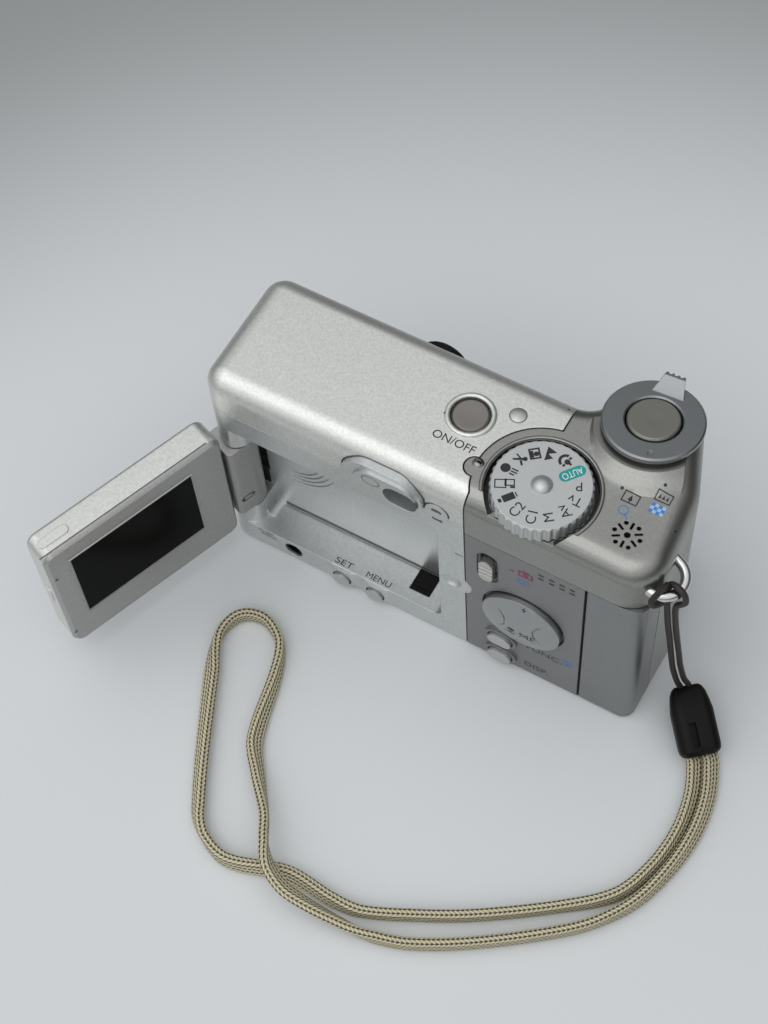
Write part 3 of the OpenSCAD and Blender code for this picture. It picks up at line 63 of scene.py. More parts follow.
# Monitor: foot of its hinge axis, angle it stands open at, height of the bezel's face over that axis, top, window
HINGE_AT = (-47.6, -11.6, 0)
OPEN_ANGLE = 111
BEZEL_FACE = 2.9
MONITOR_TOP = 46.6
SCREEN_WINDOW = (14.1, 18.3, 45.6, 41.2)

# Directions
DOWN = Vector((0, 0, -1))
FORWARD = Vector((0, 1, 0))


def millimetres(*point):
    return Vector(point) * MM


def new_object(name, data):
    piece = bpy.data.objects.new(name, data)
    bpy.context.scene.collection.objects.link(piece)
    return piece


def new_mesh(name, vertices, faces):
    mesh = bpy.data.meshes.new(name)
    mesh.from_pydata(vertices, [], faces)
    return mesh


# Camera: where the photograph was taken from
def add_camera():
    azimuth, elevation, roll = (math.radians(angle) for angle in CAMERA_ANGLES)
    right = Vector((math.cos(azimuth), math.sin(azimuth), 0))
    away = Vector((math.sin(azimuth) * math.cos(elevation), -math.cos(azimuth) * math.cos(elevation),
                   math.sin(elevation)))
    up = away.cross(right)
    right, up = (math.cos(roll) * right + math.sin(roll) * up, math.cos(roll) * up - math.sin(roll) * right)
    data = bpy.data.cameras.new("camera")
    data.sensor_width = SENSOR_WIDTH
    data.lens = FOCAL_LENGTH
    data.clip_start = 0.01
    camera = new_object("camera", data)
    turn = Matrix((right, up, away)).transposed().to_4x4()
    place = CAMERA_PLACE[0] * right + CAMERA_PLACE[1] * up + CAMERA_PLACE[2] * away
    camera.matrix_world = Matrix.Translation(place * MM) @ turn
    bpy.context.scene.camera = camera


add_camera()


# Materials
def new_material(name):
    material = bpy.data.materials.new(name)
    material.use_nodes = True
    tree = material.node_tree
    return material, tree, tree.nodes["Principled BSDF"]


def add_node(tree, kind, **inputs):
    node = tree.nodes.new(kind)
    for key, value in inputs.items():
        node.inputs[key].default_value = value
    return node


def coordinates(tree, source):
    return tree.nodes.new("ShaderNodeTexCoord").outputs[source]


def noise(tree, scale, detail=3.0):
    texture = add_node(tree, "ShaderNodeTexNoise", Scale=scale, Detail=detail)
    tree.links.new(coordinates(tree, "Object"), texture.inputs["Vector"])
    return texture.outputs["Fac"]


def operate(tree, operation, a, b=None, kind="ShaderNodeMath"):
    """Result of a math node, or of a vector math node that gives a number."""
    node = tree.nodes.new(kind)
    node.operation = operation
    for socket, value in zip(node.inputs, (a, b)):
        if isinstance(value, bpy.types.NodeSocket):
            tree.links.new(value, socket)
        elif value is not None:
            socket.default_value = value
    return node.outputs["Value"]


def ramp(tree, factor, low, high, start=0.0, end=1.0, interpolation="LINEAR"):
    """Maps factor from start..end onto low..high."""
    node = tree.nodes.new("ShaderNodeMapRange")
    node.interpolation_type = interpolation
    for name, value in (("From Min", start), ("From Max", end), ("To Min", low), ("To Max", high)):
        node.inputs[name].default_value = value
    tree.links.new(factor, node.inputs["Value"])
    return node.outputs["Result"]


def mix_colors(tree, factor, a, b):
    node = tree.nodes.new("ShaderNodeMix")
    node.data_type = "RGBA"
    tree.links.new(factor, node.inputs["Factor"])
    # Sockets 6 and 7 and output 2 are the colours among the node's typed sockets
    for socket, value in ((node.inputs[6], a), (node.inputs[7], b)):
        if isinstance(value, tuple):
            socket.default_value = (*value, 1)
        else:
            tree.links.new(value, socket)
    return node.outputs[2]


def scaled(color, share, shift=0.0):
    return tuple(min(1, channel * share + shift) for channel in color)


def add_relief(tree, shader, height, strength, depth, normal=None):
    bump = add_node(tree, "ShaderNodeBump", Strength=strength, Distance=depth * MM)
    tree.links.new(height, bump.inputs["Height"])
    if normal is not None:
        tree.links.new(normal, bump.inputs["Normal"])
    tree.links.new(bump.outputs["Normal"], shader.inputs["Normal"])


def edge_mask(tree, radius):
    """Near 1 along sharp edges and 0 on open faces, and the normal that rounds those edges."""
    bevel = add_node(tree, "ShaderNodeBevel", Radius=radius * MM)
    bevel.samples = 4
    rounded = bevel.outputs["Normal"]
    flat = tree.nodes.new("ShaderNodeNewGeometry").outputs["Normal"]
    bend = operate(tree, "DOT_PRODUCT", rounded, flat, "ShaderNodeVectorMath")
    return ramp(tree, bend, 0, 1, 0.995, 0.8), rounded


FINE_GRAIN = 2600
PAINT_GRAIN = 1900
SMOOTH_GRAIN = 900
BROAD_GRAIN = 60


def finish(name, color, rough, metal=0.0, grain=FINE_GRAIN, speckle=0.06, bump=0.03, wear_and_glint=0.25, edge=0.25, coat=0.0,
           gloss=0.5):
    """Painted or moulded surface: fine grain in colour, roughness and relief, and paler edges that are partly wear and
    partly painted highlight.
    """
    material, tree, shader = new_material(name)
    fine = noise(tree, grain)
    broad = noise(tree, BROAD_GRAIN, 2.0)
    base = mix_colors(tree, fine, scaled(color, 1 - speckle), scaled(color, 1 + speckle))
    mask, rounded = edge_mask(tree, edge)
    # Paler edges: partly rubbed wear, partly a painted highlight along every sharp edge
    worn_and_glint_color = mix_colors(tree, ramp(tree, mask, 0, wear_and_glint), base, scaled(color, 1.25, 0.05))
    tree.links.new(worn_and_glint_color, shader.inputs["Base Color"])
    tree.links.new(ramp(tree, broad, rough - 0.05, rough + 0.05), shader.inputs["Roughness"])
    shader.inputs["Metallic"].default_value = metal
    shader.inputs["Specular IOR Level"].default_value = gloss
    shader.inputs["Coat Weight"].default_value = coat
    shader.inputs["Coat Roughness"].default_value = 0.15
    add_relief(tree, shader, fine, bump, 0.1, rounded)
    return material


def glass(name, color, rough):
    """Clear glass, faintly smeared."""
    material, tree, shader = new_material(name)
    smear = noise(tree, 240)
    tree.links.new(mix_colors(tree, smear, color, scaled(color, 0.9)), shader.inputs["Base Color"])
    tree.links.new(ramp(tree, smear, rough, rough + 0.05), shader.inputs["Roughness"])
    shader.inputs["Transmission Weight"].default_value = 0.85
    shader.inputs["IOR"].default_value = 1.49
    add_relief(tree, shader, smear, 0.01, 0.05)
    return material


def woven(name, pale, hollow_shade, period, column, rough):
    """Columns of slanted stitches over the UV map of a swept cord, which is in millimetres."""
    material, tree, shader = new_material(name)
    split = tree.nodes.new("ShaderNodeSeparateXYZ")
    tree.links.new(coordinates(tree, "UV"), split.inputs[0])
    along, around = split.outputs["X"], split.outputs["Y"]
    slant = operate(tree, "PINGPONG", around, column)
    turn = operate(tree, "MULTIPLY", operate(tree, "ADD", along, slant), 2 * math.pi / period)
    stitch = ramp(tree, operate(tree, "SINE", turn), 0.5, 1.0)
    across = operate(tree, "MULTIPLY", around, math.pi / column)
    crown = operate(tree, "ABSOLUTE", operate(tree, "SINE", across))
    height = operate(tree, "MULTIPLY", stitch, ramp(tree, crown, 0.3, 1.0))
    fibre = noise(tree, 5000, 2.0)
    yarn = mix_colors(tree, fibre, scaled(pale, 0.8), pale)
    shown = ramp(tree, height, 0, 1, 0.26, 0.6)
    # Where the stitches dip, the dark colour is painted shade in the hollows of the weave
    tree.links.new(mix_colors(tree, shown, hollow_shade, yarn), shader.inputs["Base Color"])
    tree.links.new(ramp(tree, fibre, rough - 0.08, rough + 0.08), shader.inputs["Roughness"])
    add_relief(tree, shader, height, 0.8, 0.3)
    return material


# Colour, roughness and the rest of the finish of each material slot
FINISHES = {
    "silver_paint": ((0.7, 0.7, 0.67), 0.4, dict(metal=0.85, grain=PAINT_GRAIN, speckle=0.24, bump=0.14)),
    "grip_paint": ((0.31, 0.31, 0.29), 0.31,
                   dict(metal=0.92, grain=PAINT_GRAIN, speckle=0.16, bump=0.1, wear_and_glint=0.4)),
    "rear_plastic": ((0.6, 0.615, 0.61), 0.36,
                     dict(metal=0.85, grain=PAINT_GRAIN, speckle=0.2, bump=0.12, wear_and_glint=0.8)),
    "panel_plastic": ((0.24, 0.237, 0.24), 0.45, dict(metal=0.6, bump=0.06)),
    "bezel_plastic": ((0.4, 0.395, 0.385), 0.38,
                      dict(metal=0.75, grain=PAINT_GRAIN, speckle=0.2, bump=0.14, wear_and_glint=0.7)),
    "bright_plastic": ((0.5, 0.51, 0.5), 0.3, dict(metal=0.6, speckle=0.1)),
    "ring_metal": ((0.27, 0.28, 0.285), 0.28, dict(metal=0.9, wear_and_glint=0.7)),
    "lens_metal": ((0.6, 0.61, 0.62), 0.32, dict(metal=0.8)),
    "shutter_plastic": ((0.26, 0.26, 0.23), 0.34, dict(metal=0.75, wear_and_glint=0.8)),
    "taupe_plastic": ((0.23, 0.215, 0.197), 0.34, dict(metal=0.7, wear_and_glint=0.4)),
    "black_plastic": ((0.006, 0.006, 0.0055), 0.42, dict(wear_and_glint=0.02, gloss=0.12)),
    "steel": ((0.5, 0.5, 0.5), 0.3, dict(metal=1.0)),
    "chrome": ((0.66, 0.66, 0.65), 0.14, dict(metal=1.0, bump=0.01)),
    "screen_glass": ((0.003, 0.003, 0.0035), 0.16, dict(grain=SMOOTH_GRAIN, bump=0.004, wear_and_glint=0.0, gloss=0.03)),
    "lamp_plastic": ((0.05, 0.042, 0.034), 0.2, dict(bump=0.01, wear_and_glint=0.1)),
    "board": ((0.02, 0.12, 0.06), 0.45, dict(wear_and_glint=0.1)),
    "inner_plastic": ((0.05, 0.05, 0.05), 0.5, dict(wear_and_glint=0.1)),
    "cell_wrap": ((0.55, 0.36, 0.08), 0.3, dict(metal=0.5)),
}
MATERIALS = {name: finish(name, color, rough, **rest) for name, (color, rough, rest) in FINISHES.items()}
MATERIALS["clear_glass"] = glass("clear_glass", (0.8, 0.85, 0.88), 0.03)
MATERIALS["braid"] = woven("braid", (0.82, 0.74, 0.5), (0.03, 0.024, 0.012), 1.0, 0.95, 0.6)
MATERIALS["cord"] = woven("cord", (0.05, 0.04, 0.036), (0.012, 0.009, 0.008), 0.5, 0.68, 0.5)
# Nodes that differ in tone from the rest of their slot
TONES = {
    "viewfinder_glass": finish("eyepiece", (0.03, 0.03, 0.028), 0.14, grain=SMOOTH_GRAIN, bump=0.004, wear_and_glint=0.0,
                               coat=0.5),
    "mode_switch": finish("switch_metal", (0.55, 0.53, 0.5), 0.22, metal=0.9),
    "selector_disc": finish("selector_metal", (0.36, 0.37, 0.37), 0.27, metal=0.85, speckle=0.1, wear_and_glint=0.8),
    "power_lamp": finish("lamp_paint", (0.52, 0.52, 0.5), 0.36, metal=0.85, speckle=0.1),
    "card_door": finish("door_paint", (0.255, 0.26, 0.26), 0.34, metal=0.88, speckle=0.14, bump=0.08),
}
# Colour and roughness of the printed marks
INK_LOOKS = {
    "black_ink": ((0.015, 0.015, 0.016), 0.5),
    "grey_ink": ((0.1, 0.1, 0.1), 0.5),
    "blue_ink": ((0.07, 0.2, 0.5), 0.5),
    "pale_blue_ink": ((0.33, 0.52, 0.75), 0.5),
    "teal_ink": ((0.0, 0.3, 0.29), 0.45),
    "red_ink": ((0.22, 0.04, 0.07), 0.5),
    "white_ink": ((0.8, 0.82, 0.8), 0.5),
}
INKS = {name: finish(name, color, rough, wear_and_glint=0.0) for name, (color, rough) in INK_LOOKS.items()}


# Strap: a thin cord from the slider over the lug and back, its hitch round the lug, and a flat braided band
CORD_ROUTE = [
    (60, -6.2, 8.2), (58.8, -5.4, 9.6), (58, -5.75, 11.6), (57.45, -6.35, 15), (56.7, -7.1, 21), (56.3, -7.65, 26),
    (55.85, -8.18, 31), (55.4, -8.65, 36), (55, -9.15, 41), (54.7, -9.55, 45.5), (54.55, -9.85, 49),
    (54.9, -10.25, 52), (56, -10.75, 54.4), (56.7, -11.05, 56.6), (56.1, -10.8, 58.5), (54.5, -10.25, 59.2),
    (52.95, -9.75, 58.4), (52.45, -9.75, 56.4), (52.65, -10.3, 54.2), (53, -10.8, 51.6), (53.35, -10.55, 46.5),
    (53.75, -10.1, 41), (54.2, -9.6, 36), (54.6, -9.1, 31), (55.05, -8.6, 25.5), (55.6, -8.05, 19.5),
    (56.3, -7.4, 14.5), (56.9, -6.9, 11.2), (57.7, -6.7, 9.2), (58.9, -7.2, 7.9)]
HITCH_ROUTE = [
    (52.3, -10.4, 58.7), (52.1, -11.6, 59.3), (51.7, -12.9, 59.1), (51.2, -14.1, 58.4), (51, -14.7, 57.3),
    (51.5, -14.5, 56.2), (52.3, -13.3, 55.6), (53, -12, 55.3), (53.4, -11.2, 54.4)]
CORD_D = 1.3
# Band: thickness, width and corner of its section, height of its middle where it lies on the floor, and its plan,
# whose third value is the lift where it crosses itself
BAND_T, BAND_W, BAND_CORNER = 2.0, 3.8, 0.6
BAND_Z = 2.0
BAND_PLAN = [
    (66, -16.6, 0), (67.4, -18.6, 0), (69.8, -25.4, 0), (70.7, -34.1, 0), (69.3, -43.4, 0), (65.4, -52.2, 0),
    (56, -60.4, 0), (41.3, -70.6, 0), (30.3, -76.6, 0), (20.9, -80.8, 0), (14.7, -81.6, 0), (3.5, -81.2, 0),
    (-9.6, -84.9, 0), (-16.5, -82.6, 0), (-21.1, -78.1, 0), (-35.8, -49.3, 0), (-39, -41.4, 0), (-38.3, -36.2, 0),
    (-35.7, -33.5, 0), (-31.1, -33, 0), (-26, -36.3, 0), (-23, -42.4, 0), (-18.6, -58.7, 0.2), (-13.5, -65.6, 0.9),
    (-7, -73.4, 2.6), (-3.4, -79.2, 3.9), (0.6, -83.2, 4.3), (6.4, -85.4, 3.6), (19.6, -85.2, 0.7),
    (26.3, -84.2, 0.1), (33.2, -81.9, 0), (43.9, -75.8, 0), (57, -66.2, 0), (63.9, -59.9, 0), (69.6, -51.6, 0),
    (72.7, -41.9, 0), (73.8, -32.7, 0), (72.9, -24, 0), (70.2, -16.6, 0), (68.7, -14.4, 0)]
BAND_ROUTE = [(x, y, BAND_Z + lift) for x, y, lift in BAND_PLAN]
# Roll of the band in degrees at each point of its route: 0 stands on edge
BAND_ROLLS = [60, 50, 40, 30, 20, 10, 0, 0, 0, 0, 15, 25, 10, 0, 30, 45, 10, 0, 0, 0, 0, 15, 40, 25, 0, 0, 35, 45,
              20, 0, 0, 0, 0, 0, -10, -20, -30, -40, -50, -60]
# Distance between the rings of a swept cord, and between the points that its length is measured on
SWEEP_STEP = 0.4


def smooth_route(points, step):
    """Points about step millimetres apart on a curve through the route, each with its place in the route."""
    route = [Vector(p) for p in points]
    out = []
    for i in range(len(route) - 1):
        p0 = route[max(i - 1, 0)]
        p1, p2 = route[i], route[i + 1]
        p3 = route[min(i + 2, len(route) - 1)]
        chord = (p2 - p1).length
        before = max((p1 - p0).length, 1e-6)
        after = max((p3 - p2).length, 1e-6)
        lead = (p2 - p0) * (chord / (before + chord)) if i else p2 - p1
        tail = (p3 - p1) * (chord / (after + chord)) if i < len(route) - 2 else p2 - p1
        count = max(2, round(chord / step))
        for k in range(count):
            t = k / count
            point = ((2 * t ** 3 - 3 * t ** 2 + 1) * p1 + (t ** 3 - 2 * t ** 2 + t) * lead
                     + (3 * t ** 2 - 2 * t ** 3) * p2 + (t ** 3 - t ** 2) * tail)
            out.append((point, i + t))
    out.append((route[-1], len(route) - 1))
    return out


def sweep(name, points, profile, hold, rolls=None):
    """Tube along a route with the profile across it, rolled by degrees at each point of the route.

    Its UV map is in millimetres along and round."""
    steps = smooth_route(points, SWEEP_STEP)
    path = [point for point, _ in steps]
    rolls = rolls or [0] * len(points)
    count = len(profile)
    around = [0.0]
    for j in range(count):
        around.append(around[-1] + math.dist(profile[j], profile[(j + 1) % count]))
    vertices, along = [], [0.0]
    for i, (point, at) in enumerate(steps):
        ahead = (path[min(i + 1, len(path) - 1)] - path[max(i - 1, 0)]).normalized()
        side = Vector(hold).cross(ahead).normalized()
        rise = ahead.cross(side)
        before = min(int(at), len(points) - 2)
        part = at - before
        roll = math.radians(rolls[before] * (1 - part) + rolls[before + 1] * part)
        side, rise = side * math.cos(roll) + rise * math.sin(roll), rise * math.cos(roll) - side * math.sin(roll)
        vertices += [(point + side * u + rise * v) * MM for u, v in profile]
        if i:
            along.append(along[-1] + (point - path[i - 1]).length)
    faces, uvs = [], []
    for i in range(len(path) - 1):
        for j in range(count):
            k = (j + 1) % count
            faces.append((i * count + j, (i + 1) * count + j, (i + 1) * count + k, i * count + k))
            uvs += [(along[i], around[j]), (along[i + 1], around[j]), (along[i + 1], around[j + 1]),
                    (along[i], around[j + 1])]
    last = (len(path) - 1) * count
    faces += [tuple(range(count)), tuple(last + j for j in reversed(range(count)))]
    uvs += [(0, 0)] * (2 * count)
    mesh = new_mesh(name, vertices, faces)
    layer = mesh.uv_layers.new(name="cord")
    for loop, uv in zip(layer.data, uvs):
        loop.uv = uv
    mesh.shade_smooth()
    mesh.validate()
    return new_object(name, mesh)


def disc(x, y, r, n=24):
    return [(x + r * math.cos(2 * math.pi * k / n), y + r * math.sin(2 * math.pi * k / n)) for k in range(n)]


def rounded_bar(width, height, radius, steps=4):
    """Profile of a flat band: a bar with round corners."""
    points = []
    for corner, (sx, sy) in enumerate(((1, 1), (-1, 1), (-1, -1), (1, -1))):
        for k in range(steps + 1):
            angle = math.radians(90 * corner + 90 * k / steps)
            points.append((sx * (width / 2 - radius) + radius * math.cos(angle),
                           sy * (height / 2 - radius) + radius * math.sin(angle)))
    return points


def add_strap():
    ring = disc(0, 0, CORD_D / 2, 12)
    cord = sweep("strap_thin_cord", CORD_ROUTE, ring, (0.36, 0.93, 0))
    cord.data.materials.append(MATERIALS["cord"])
    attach(cord, "body")
    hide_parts("strap_cord")
    hitch = sweep("strap_hitch", HITCH_ROUTE, ring, (1, 0.2, 0))
    hitch.data.materials.append(MATERIALS["cord"])
    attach(hitch, "body")
    section = rounded_bar(BAND_T, BAND_W, BAND_CORNER)
    band = sweep("strap_braided_band", BAND_ROUTE, section, (0, 0, 1), BAND_ROLLS)
    band.data.materials.append(MATERIALS["braid"])
    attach(band, "body")
    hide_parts("strap_band")


add_strap()


# CAD nodes: shading that is smooth across fine facets and sharp at real edges, which bend by more than this
SHARP_ANGLE = 28


def smoothing_group():
    group = bpy.data.node_groups.new("smooth_by_angle", "GeometryNodeTree")
    group.interface.new_socket("Geometry", in_out="INPUT", socket_type="NodeSocketGeometry")
    group.interface.new_socket("Geometry", in_out="OUTPUT", socket_type="NodeSocketGeometry")
    start = group.nodes.new("NodeGroupInput")
    end = group.nodes.new("NodeGroupOutput")
    merge = add_node(group, "GeometryNodeMergeByDistance", Distance=0.001 * MM)
    strip = add_node(group, "GeometryNodeRemoveAttribute", Name="custom_normal")
    faces = group.nodes.new("GeometryNodeSetShadeSmooth")
    edges = group.nodes.new("GeometryNodeSetShadeSmooth")
    edges.domain = "EDGE"
    edges.inputs["Shade Smooth"].default_value = False
    angle = group.nodes.new("GeometryNodeInputMeshEdgeAngle")
    sharp = add_node(group, "FunctionNodeCompare", B=math.radians(SHARP_ANGLE))
    sharp.operation = "GREATER_THAN"
    links = group.links
    links.new(start.outputs[0], strip.inputs["Geometry"])
    links.new(strip.outputs[0], merge.inputs["Geometry"])
    links.new(merge.outputs[0], faces.inputs["Geometry"])
    links.new(faces.outputs[0], edges.inputs["Geometry"])
    links.new(angle.outputs["Unsigned Angle"], sharp.inputs["A"])
    links.new(sharp.outputs[0], edges.inputs["Selection"])
    links.new(edges.outputs[0], end.inputs[0])
    return group


def dress_nodes():
    group = smoothing_group()
    slots = {part["node"]: part["material_slot"] for part in frame["record"]["subparts"]}
    for name, node in nodes.items():
        node.data.materials.clear()
        node.data.materials.append(TONES.get(name, MATERIALS[slots[name]]))
        smooth = node.modifiers.new("smooth", "NODES")
        smooth.node_group = group
        weights = node.modifiers.new("weights", "WEIGHTED_NORMAL")
        weights.keep_sharp = True
        weights.weight = 100


dress_nodes()


# Printed marks: height over their carrier, where the rays that drop them start, how deep these reach on outer faces
# and in the monitor's bay, longest edge of a dropped mark, and the font's size for letters of height 1
LIFT = 0.03
RAY_START = 5
NEAR_REACH = 8
BAY_REACH = 20
LONGEST_EDGE = 0.4
FONT_SIZE = 1.38
FACE_TOP = Matrix.Identity(3)
FACE_BACK = Matrix(((1, 0, 0), (0, 0, -1), (0, 1, 0)))
FACE_BEZEL = Matrix(((-1, 0, 0), (0, 0, 1), (0, 1, 0)))


def place_matrix(face, at, turn=0):
    """Matrix that lays a flat mark on a face, turned in its plane."""
    return Matrix.Translation(Vector(at) * MM) @ face.to_4x4() @ Matrix.Rotation(math.radians(turn), 4, "Z")


def surface(*names):
    """Search tree over the faces of CAD nodes as they lie at rest."""
    vertices, faces = [], []
    for name in names:
        first = len(vertices)
        vertices += [nodes[name].matrix_world @ vertex.co for vertex in nodes[name].data.vertices]
        faces += [[first + i for i in polygon.vertices] for polygon in nodes[name].data.polygons]
    return BVHTree.FromPolygons(vertices, faces)


def refine(mesh):
    """Splits the faces of a mark until few edges are too long to follow a curved carrier."""
    data = bmesh.new()
    data.from_mesh(mesh)
    for _ in range(4):
        bmesh.ops.triangulate(data, faces=data.faces)
        long = [edge for edge in data.edges if edge.calc_length() > LONGEST_EDGE * MM]
        if not long:
            break
        bmesh.ops.subdivide_edges(data, edges=long, cuts=1)
    bmesh.ops.triangulate(data, faces=data.faces)
    data.to_mesh(mesh)
    data.free()


def lay_mark(name, mesh, place, ink, body="body", carrier=None, inward=None, reach=NEAR_REACH):
    """Puts a flat mark in its place and drops each of its points onto the carrier's surface, where that is near."""
    mesh.materials.clear()
    mesh.materials.append(INKS[ink])
    mark = new_object(name, mesh)
    mark.matrix_world = place
    if carrier:
        back = place.inverted()
        refine(mesh)
        for vertex in mesh.vertices:
            hit, _, _, depth = carrier.ray_cast(place @ vertex.co - inward * RAY_START * MM, inward)
            if hit and depth < reach * MM:
                vertex.co = back @ (hit - inward * LIFT * MM)
    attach(mark, body)


def add_text(name, words, height, place, ink, width=None, **laying):
    """Mark made of words, stretched to a width."""
    data = bpy.data.curves.new(name, "FONT")
    data.body = words
    data.size = height * FONT_SIZE * MM
    data.align_x = "CENTER"
    data.align_y = "CENTER"
    text = new_object(name, data)
    bpy.context.view_layer.update()
    stretch = width * MM / text.dimensions.x if width else 1
    mesh = bpy.data.meshes.new_from_object(text.evaluated_get(bpy.context.evaluated_depsgraph_get()))
    bpy.data.objects.remove(text)
    mesh.transform(Matrix.Diagonal((stretch, 1, 1, 1)))
    lay_mark(name, mesh, place, ink, **laying)


def add_mark(name, outlines, place, ink, **laying):
    """Flat mark made of filled outlines, in millimetres."""
    vertices, faces = [], []
    for outline in outlines:
        first = len(vertices)
        vertices += [millimetres(x, y, 0) for x, y in outline]
        faces.append(tuple(range(first, len(vertices))))
    lay_mark(name, new_mesh(name, vertices, faces), place, ink, **laying)


# Outlines of marks
def bar(x0, y0, x1, y1):
    return [(x0, y0), (x1, y0), (x1, y1), (x0, y1)]


def outline_box(w, h, t, x=0, y=0):
    """Frame of a rectangle, as four bars."""
    a, b = w / 2, h / 2
    return [bar(x - a, y + b - t, x + a, y + b), bar(x - a, y - b, x + a, y - b + t),
            bar(x - a, y - b + t, x - a + t, y + b - t), bar(x + a - t, y - b + t, x + a, y + b - t)]


def pill(w, h, n=10):
    r = h / 2
    run = w / 2 - r
    right = [(run + r * math.sin(math.pi * k / n), -r * math.cos(math.pi * k / n)) for k in range(n + 1)]
    return right + [(-x, -y) for x, y in right]


def arc_band(r, t, a0, a1, n=14):
    """Filled arc of a ring, as a chain of four-sided outlines."""
    out = []
    for k in range(n):
        quad = []
        for radius, step in ((r, k), (r, k + 1), (r + t, k + 1), (r + t, k)):
            angle = math.radians(a0 + (a1 - a0) * step / n)
            quad.append((radius * math.cos(angle), radius * math.sin(angle)))
        out.append(quad)
    return out


# Places of marks
def on_top(x, y, turn=0):
    return place_matrix(FACE_TOP, (x, y, TOP + LIFT), turn)


def on_back(x, z):
    return place_matrix(FACE_BACK, (x, BACK - LIFT, z))


def on_dial(step, radius, lift=LIFT):
    """Place of a dial mark: the marks read inwards, and step 0 stands at the index on the left."""
    angle = 180 + step * 360 / DIAL_STEPS
    x = DIAL_AT[0] + radius * math.cos(math.radians(angle))
    y = DIAL_AT[1] + radius * math.sin(math.radians(angle))
    return place_matrix(FACE_TOP, (x, y, DIAL_TOP + lift), angle - 180)


def add_dial_marks():
    for step, words in enumerate(("C2", "C1", "M", "Av", "Tv", "P"), 3):
        add_text("dial_" + words, words, 2.1, on_dial(step, 7.3), "black_ink", body="dial")
    add_mark("dial_auto_badge", [pill(5.6, 2.4)], on_dial(9, 6.5), "teal_ink", body="dial")
    add_text("dial_auto", "AUTO", 1.5, on_dial(9, 6.5, LIFT * 2), "white_ink", body="dial", width=4.3)
    icons = {
        "head": (0, [disc(-0.7, 0.1, 0.85), bar(0.3, 0.35, 1.5, 0.6), bar(0.3, -0.15, 1.5, 0.1),
                     bar(0.3, -0.65, 1.2, -0.4)]),
        "stitch": (1, outline_box(2.0, 1.7, 0.2, -0.7, 0) + outline_box(1.7, 1.3, 0.2, 0.8, 0.25)
                   + [bar(0.9, -0.8, 1.7, -0.45)]),
        "movie": (2, [bar(-0.9, -0.6, 1.2, 0.7), bar(-1.7, -0.35, -1.15, 0.35), bar(1.4, -0.4, 1.6, 0.5)]),
        "close": (10, arc_band(0.75, 0.5, 190, 350) + [disc(0, 0.35, 0.5), bar(-1.1, 0.1, -0.6, 0.5),
                                                       bar(0.6, 0.1, 1.1, 0.5), bar(-0.2, 0.8, 0.2, 1.2)]),
        "hills": (11, [[(-1.3, -0.8), (0.2, -0.8), (-0.5, 0.9)], [(-0.2, -0.8), (1.4, -0.8), (0.7, 0.5)]]),
        "night": (12, outline_box(2.1, 1.9, 0.3) + [disc(0.1, 0.25, 0.45), bar(-0.6, -0.7, 0.7, -0.2)]),
        "sport": (13, [disc(0.5, 0.75, 0.4), [(-0.9, -0.9), (-0.5, -0.9), (0.5, 0.4), (0.1, 0.6)],
                       [(0.2, -0.2), (1.1, -0.6), (1.2, -0.3), (0.4, 0.2)], bar(-1.1, 0.1, -0.1, 0.35)]),
    }
    for name, (step, outlines) in icons.items():
        add_mark("dial_" + name, outlines, on_dial(step, 7.2) @ Matrix.Scale(1.2, 4), "black_ink", body="dial")


def add_dial_gap_shade(steps=180, short=0.1):
    """Painted shade in the gap round the dial: black over its floor, and over its wall up to a little short of the
    cover's edge.
    """
    cover = surface("grip_cover")
    centre = Vector((*DIAL_AT, 0))
    vertices, faces = [], []
    before = None
    for step in range(steps + 1):
        angle = 2 * math.pi * step / steps
        across = Vector((math.cos(angle), math.sin(angle), 0))
        start = (centre + across * (WELL_OUTER + 0.1)) * MM + millimetres(0, 0, TOP + RAY_START)
        hit = cover.ray_cast(start, DOWN)[0]
        rim = min(hit.z / MM - short, TOP - short) if hit else 0
        if rim <= WELL_FLOOR:
            before = None
            continue
        first = len(vertices)
        for radius, height in ((WELL_INNER, WELL_FLOOR), (WELL_OUTER, WELL_FLOOR), (WELL_OUTER, rim)):
            vertices.append((centre + across * radius + Vector((0, 0, height))) * MM)
        if before is not None:
            faces += [(before, first, first + 1, before + 1), (before + 1, first + 1, first + 2, before + 2)]
        before = first
    # The black ink here is painted shade in the gap
    lay_mark("dial_gap_painted_shade", new_mesh("dial_gap_painted_shade", vertices, faces), Matrix.Identity(4), "black_ink")


